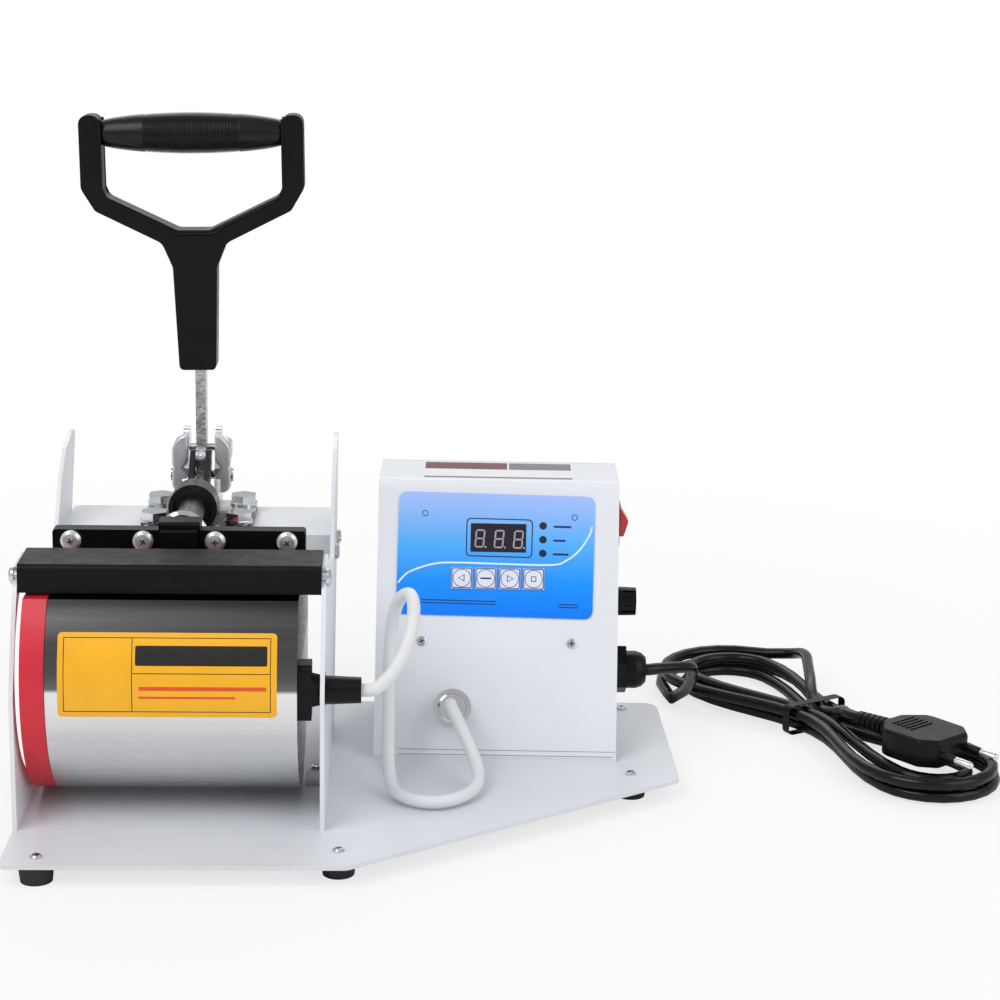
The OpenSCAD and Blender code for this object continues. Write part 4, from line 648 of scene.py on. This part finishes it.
LINE = 0.35
PRINT_LOW, PRINT_HIGH = 0.1, 0.2
wrap("jacket_label", [(-47.4, -7.6, 48.2, 30.2)], 0.0, 0.16, ORANGE, 1.8)
X0, X1, Y0, Y1, DIVIDE_X, DIVIDE_Y = -44.9, 45.6, -5.2, 28.0, -15.2, 12.0
wrap("label_lines", [
    (X0, Y0, X1, Y0 + LINE), (X0, Y1 - LINE, X1, Y1), (X0, Y0, X0 + LINE, Y1), (X1 - LINE, Y0, X1, Y1),
    (DIVIDE_X, Y0, DIVIDE_X + LINE, Y1), (DIVIDE_X, DIVIDE_Y, X1, DIVIDE_Y + LINE)],
    PRINT_LOW, PRINT_HIGH, LABEL_BLACK)
wrap("label_bar", [(-13.6, 15.6, 44.0, 24.4)], PRINT_LOW, PRINT_HIGH, LABEL_BLACK, 0.8)
wrap("label_red_bars", [(-12, 4.6, 43.6, 6.4), (-12, 1.0, 30.0, 2.0)], PRINT_LOW, PRINT_HIGH, LABEL_RED)


# ---- printing on the control box ----
def high(node, matrix):
    """The node's highest place along the matrix's own Z, in millimetres."""
    back = matrix.inverted()
    return max((back @ v.co).z for v in NODES[node].data.vertices)


SKEW = FRONT @ shift(-1.5, 68.4, 0) @ turn(-0.7, "Z") @ shift(1.5, -68.4, 0)
film = high("printed_panel", FRONT)
glass = high("display_window", FRONT)
INK = 0.05
WAVE = [(-48.6, 84.2), (-46.4, 87.0), (-42.5, 90.0), (-32.7, 93.4), (-22.9, 94.5), (1.6, 94.2), (26.1, 94.1),
        (33.5, 96.4), (39.8, 101.6), (44.4, 108.7), (45.8, 113.2)]
smooth_wave = [(p.x, p.y) for p in curve([(x, y, 0) for x, y in WAVE], 6)]
art("panel_wave", on(FRONT), [strip(smooth_wave, 0.8)], film - 0.05, film + INK, WHITE_INK)
lines = [(rect(-16.3, 97.5, 16.3, 116.4, 2.2), rect(-15.75, 98.05, 15.75, 115.85, 1.8)),
         rect(-37.1, 75.5, -0.9, 76.0), rect(-37.1, 74.1, -0.9, 74.6),
         rect(30, 75.0, 39.3, 75.5), rect(30, 73.6, 39.3, 74.1)]
lines += [rect(26.4, v - 0.5, 26.4 + length, v + 0.5) for v, length in ((113.2, 8.6), (106.4, 5.9), (99.7, 7.6))]
art("panel_lines", on(SKEW), lines, film - 0.05, film + INK, NAVY)
dimples = [(disc(u, 118, 1.5), disc(u, 118, 1.15)) for u in (-36.6, 36.6)]
art("panel_dimples", on(SKEW), dimples, film - 0.05, film + INK, NAVY)

# three unlit digits of seven bars and a point
BAR, DIGIT_W, DIGIT_H, DIGIT_V, SLANT = 0.8, 5.2, 9.0, 106.4, 0.07


def bar(x0, y0, x1, y1):
    """One bar of a digit, pointed at both ends."""
    a, b = Vector((x0, y0)), Vector((x1, y1))
    along = (b - a).normalized()
    side = Vector((-along.y, along.x)) * BAR / 2
    inset = along * (BAR / 2 + 0.08)
    tip = along * 0.08
    corners = (a + tip, a + inset - side, b - inset - side, b - tip, b - inset + side, a + inset + side)
    return [tuple(p) for p in corners]


digits = []
for centre in (-9.2, 0.2, 9.6):
    x0, x1 = centre - DIGIT_W / 2 + 0.3, centre + DIGIT_W / 2 - 0.9
    y0, y1 = DIGIT_V - DIGIT_H / 2 + 0.4, DIGIT_V + DIGIT_H / 2 - 0.4
    mid = (y0 + y1) / 2
    bars = [bar(x0, y0, x1, y0), bar(x0, mid, x1, mid), bar(x0, y1, x1, y1),
            bar(x0, y0, x0, mid), bar(x0, mid, x0, y1), bar(x1, y0, x1, mid), bar(x1, mid, x1, y1),
            disc(x1 + 1.2, y0, 0.5, 12)]
    digits += [[(x + SLANT * (y - mid), y) for x, y in shape] for shape in bars]
art("digits", on(SKEW), digits, glass - 0.03, glass + 0.06, SEGMENT)

# keys: an outline, a round field in a ring, and a plain sign
KEY_V, KEY_PITCH, KEY_HALF = 87, 11.7, 5.0
SIGNS = {
    "left": [(-1.9, 0), (1.3, -1.8), (1.3, 1.8)],
    "mode": rect(-2.6, -0.4, 2.6, 0.4),
    "right": [(1.9, 0), (-1.3, 1.8), (-1.3, -1.8)],
    "stop": rect(-1.3, -1.3, 1.3, 1.3, 0.2),
}
for i, (sign, shape) in enumerate(SIGNS.items()):
    at = FRONT @ shift((i - 1.5) * KEY_PITCH, KEY_V, 0)
    top = high(f"key_{sign}", FRONT)
    body = f"{sign}_key"
    art(f"key_{sign}_field", on(at), [disc(0, 0, 4.1)], top - 0.05, top + 0.03, KEY_FIELD, body)
    edge = KEY_HALF - 0.4
    marks = [(rect(-KEY_HALF, -KEY_HALF, KEY_HALF, KEY_HALF, 1.0), rect(-edge, -edge, edge, edge, 0.8)),
             (disc(0, 0, 4.4), disc(0, 0, 4.1))]
    if sign == "mode":
        marks.append(shape)
    else:
        marks.append((shape, [(x * 0.7, y * 0.7) for x, y in shape]))
    art(f"key_{sign}_marks", on(at), marks, top - 0.05, top + 0.06, NAVY, body)

# a plain striped label on the box's top, and painted shadow lines in the seams along its foot
TOP = 129.4
art("top_label", on(BOX), [rect(-38, 46, 37, 81, 0.8)], TOP - 0.05, TOP + 0.1, PAPER)
art("top_label_maroon", on(BOX), [rect(-37, 66, 4, 80)], TOP, TOP + 0.15, MAROON)
art("top_label_grey", on(BOX), [rect(5, 66, 36, 80), rect(-37, 47.2, 36, 50)], TOP, TOP + 0.15, GREY_INK)
art("box_seam_shadows", on(FRONT), [rect(-47, 3.3, 58.6, 3.65), rect(-47, 0.9, 57.5, 1.3)], -0.03, 0.05, PAINTED_SEAM_SHADOW)


# ---- painted shade in the cross recesses of the screw heads ----
def islands(node):
    """The places of the separate solids in a node's mesh, each a list of points."""
    bm = bmesh.new()
    bm.from_mesh(NODES[node].data)
    bmesh.ops.remove_doubles(bm, verts=bm.verts, dist=1e-6)
    todo, found = set(bm.verts), []
    while todo:
        start = todo.pop()
        group, edge = [start], [start]
        while edge:
            vert = edge.pop()
            for link in vert.link_edges:
                other = link.other_vert(vert)
                if other in todo:
                    todo.remove(other)
                    group.append(other)
                    edge.append(other)
        found.append([v.co.copy() for v in group])
    bm.free()
    # the walk above starts anywhere, so the solids are put in order by their lowest corner
    return sorted(found, key=lambda group: min(tuple(round(x, 5) for x in p) for p in group))


def painted_recess_shades(node, axis, size, body, turned=20):
    """A dark cross in the end of each screw that faces along the axis: painted shade where its cross recess is."""
    out = Vector(axis).normalized()
    facing = out.to_track_quat("Z", "Y").to_matrix().to_4x4()
    bm = bmesh.new()
    for k, group in enumerate(islands(node)):
        local = [facing.inverted() @ p for p in group]
        top = max(p.z for p in local)
        x = (min(p.x for p in local) + max(p.x for p in local)) / 2
        y = (min(p.y for p in local) + max(p.y for p in local)) / 2
        place = facing @ Matrix.Translation((x, y, top)) @ turn(turned + 37 * k, "Z") @ Matrix.Scale(0.001, 4)
        for a in (0, 90):
            prism(bm, on(place @ turn(a, "Z")), rect(-size, -size * 0.2, size, size * 0.2), -size * 0.28, 0.06)
    return piece(f"{node}_recess_shade", bm, DARK_STEEL, body)


FRONT_OUT = (FRONT.to_3x3() @ Vector((0, 0, 1))).normalized()
painted_recess_shades("moving_bar_screws", (0, -1, 0), 1.5, "press_slide")
painted_recess_shades("foot_screws", (0, 0, 1), 1.4, "root")
painted_recess_shades("base_screws", (0, 0, 1), 1.4, "root")
painted_recess_shades("panel_screws", FRONT_OUT, 1.3, "root")
# ---- studio ----
def lamp(name, at, towards, size, power, color=(1, 1, 1)):
    data = bpy.data.lights.new(name, "AREA")
    data.shape = "RECTANGLE"
    data.size, data.size_y = size
    data.energy = power
    data.color = color
    obj = bpy.data.objects.new(name, data)
    scene.collection.objects.link(obj)
    obj.location = at
    obj.rotation_euler = (Vector(towards) - Vector(at)).to_track_quat("-Z", "Y").to_euler()
    return obj


lamp("key", (-0.9, -0.9, 1.5), (0, 0, 0.1), (1.2, 1.2), 17)
lamp("fill", (1.3, -0.8, 0.9), (0.05, 0, 0.1), (1.4, 1.4), 9)
lamp("back", (0.1, 1.4, 1.2), (0, 0, 0.15), (1.6, 1.0), 8)

world = bpy.data.worlds.new("studio")
scene.world = world
world.use_nodes = True
tree = world.node_tree
light_path = tree.nodes.new("ShaderNodeLightPath")
seen = tree.nodes.new("ShaderNodeMath")
seen.operation = "MAXIMUM"
tree.links.new(light_path.outputs["Is Camera Ray"], seen.inputs[0])
tree.links.new(light_path.outputs["Is Transmission Ray"], seen.inputs[1])
mix = tree.nodes.new("ShaderNodeMixShader")
dim = tree.nodes["Background"]
dim.inputs[0].default_value = (1, 1, 1, 1)
dim.inputs[1].default_value = 0.5
plain = tree.nodes.new("ShaderNodeBackground")
plain.inputs[0].default_value = (1, 1, 1, 1)
plain.inputs[1].default_value = 1.0
tree.links.new(seen.outputs[0], mix.inputs[0])
tree.links.new(dim.outputs[0], mix.inputs[1])
tree.links.new(plain.outputs[0], mix.inputs[2])
tree.links.new(mix.outputs[0], tree.nodes["World Output"].inputs[0])

floor_mesh = bpy.data.meshes.new("floor")
floor_mesh.from_pydata([(-8, -8, 0), (8, -8, 0), (8, 8, 0), (-8, 8, 0)], [], [(0, 1, 2, 3)])
floor = bpy.data.objects.new("floor", floor_mesh)
scene.collection.objects.link(floor)
n = Nodes("floor")
n.shader.inputs["Base Color"].default_value = (0.85, 0.85, 0.85, 1)
n.shader.inputs["Roughness"].default_value = 0.9
glow = n.add("ShaderNodeEmission", Color=(1, 1, 1, 1), Strength=1.0)
path_node = n.add("ShaderNodeLightPath")
far = n.add("ShaderNodeVectorMath", operation="LENGTH")
n.feed(far.inputs[0], n.place)
brighter = n.span(far.outputs["Value"], 0.25, 0.7, 0.72, 1.0)
share = n.math("MULTIPLY", path_node.outputs["Is Camera Ray"], brighter)
both = n.add("ShaderNodeMixShader")
n.feed(both.inputs[0], share)
n.feed(both.inputs[1], n.shader.outputs[0])
n.feed(both.inputs[2], glow.outputs[0])
n.feed(n.tree.nodes["Material Output"].inputs[0], both.outputs[0])
floor_mesh.materials.append(n.material)

scene.view_settings.view_transform = "Standard"
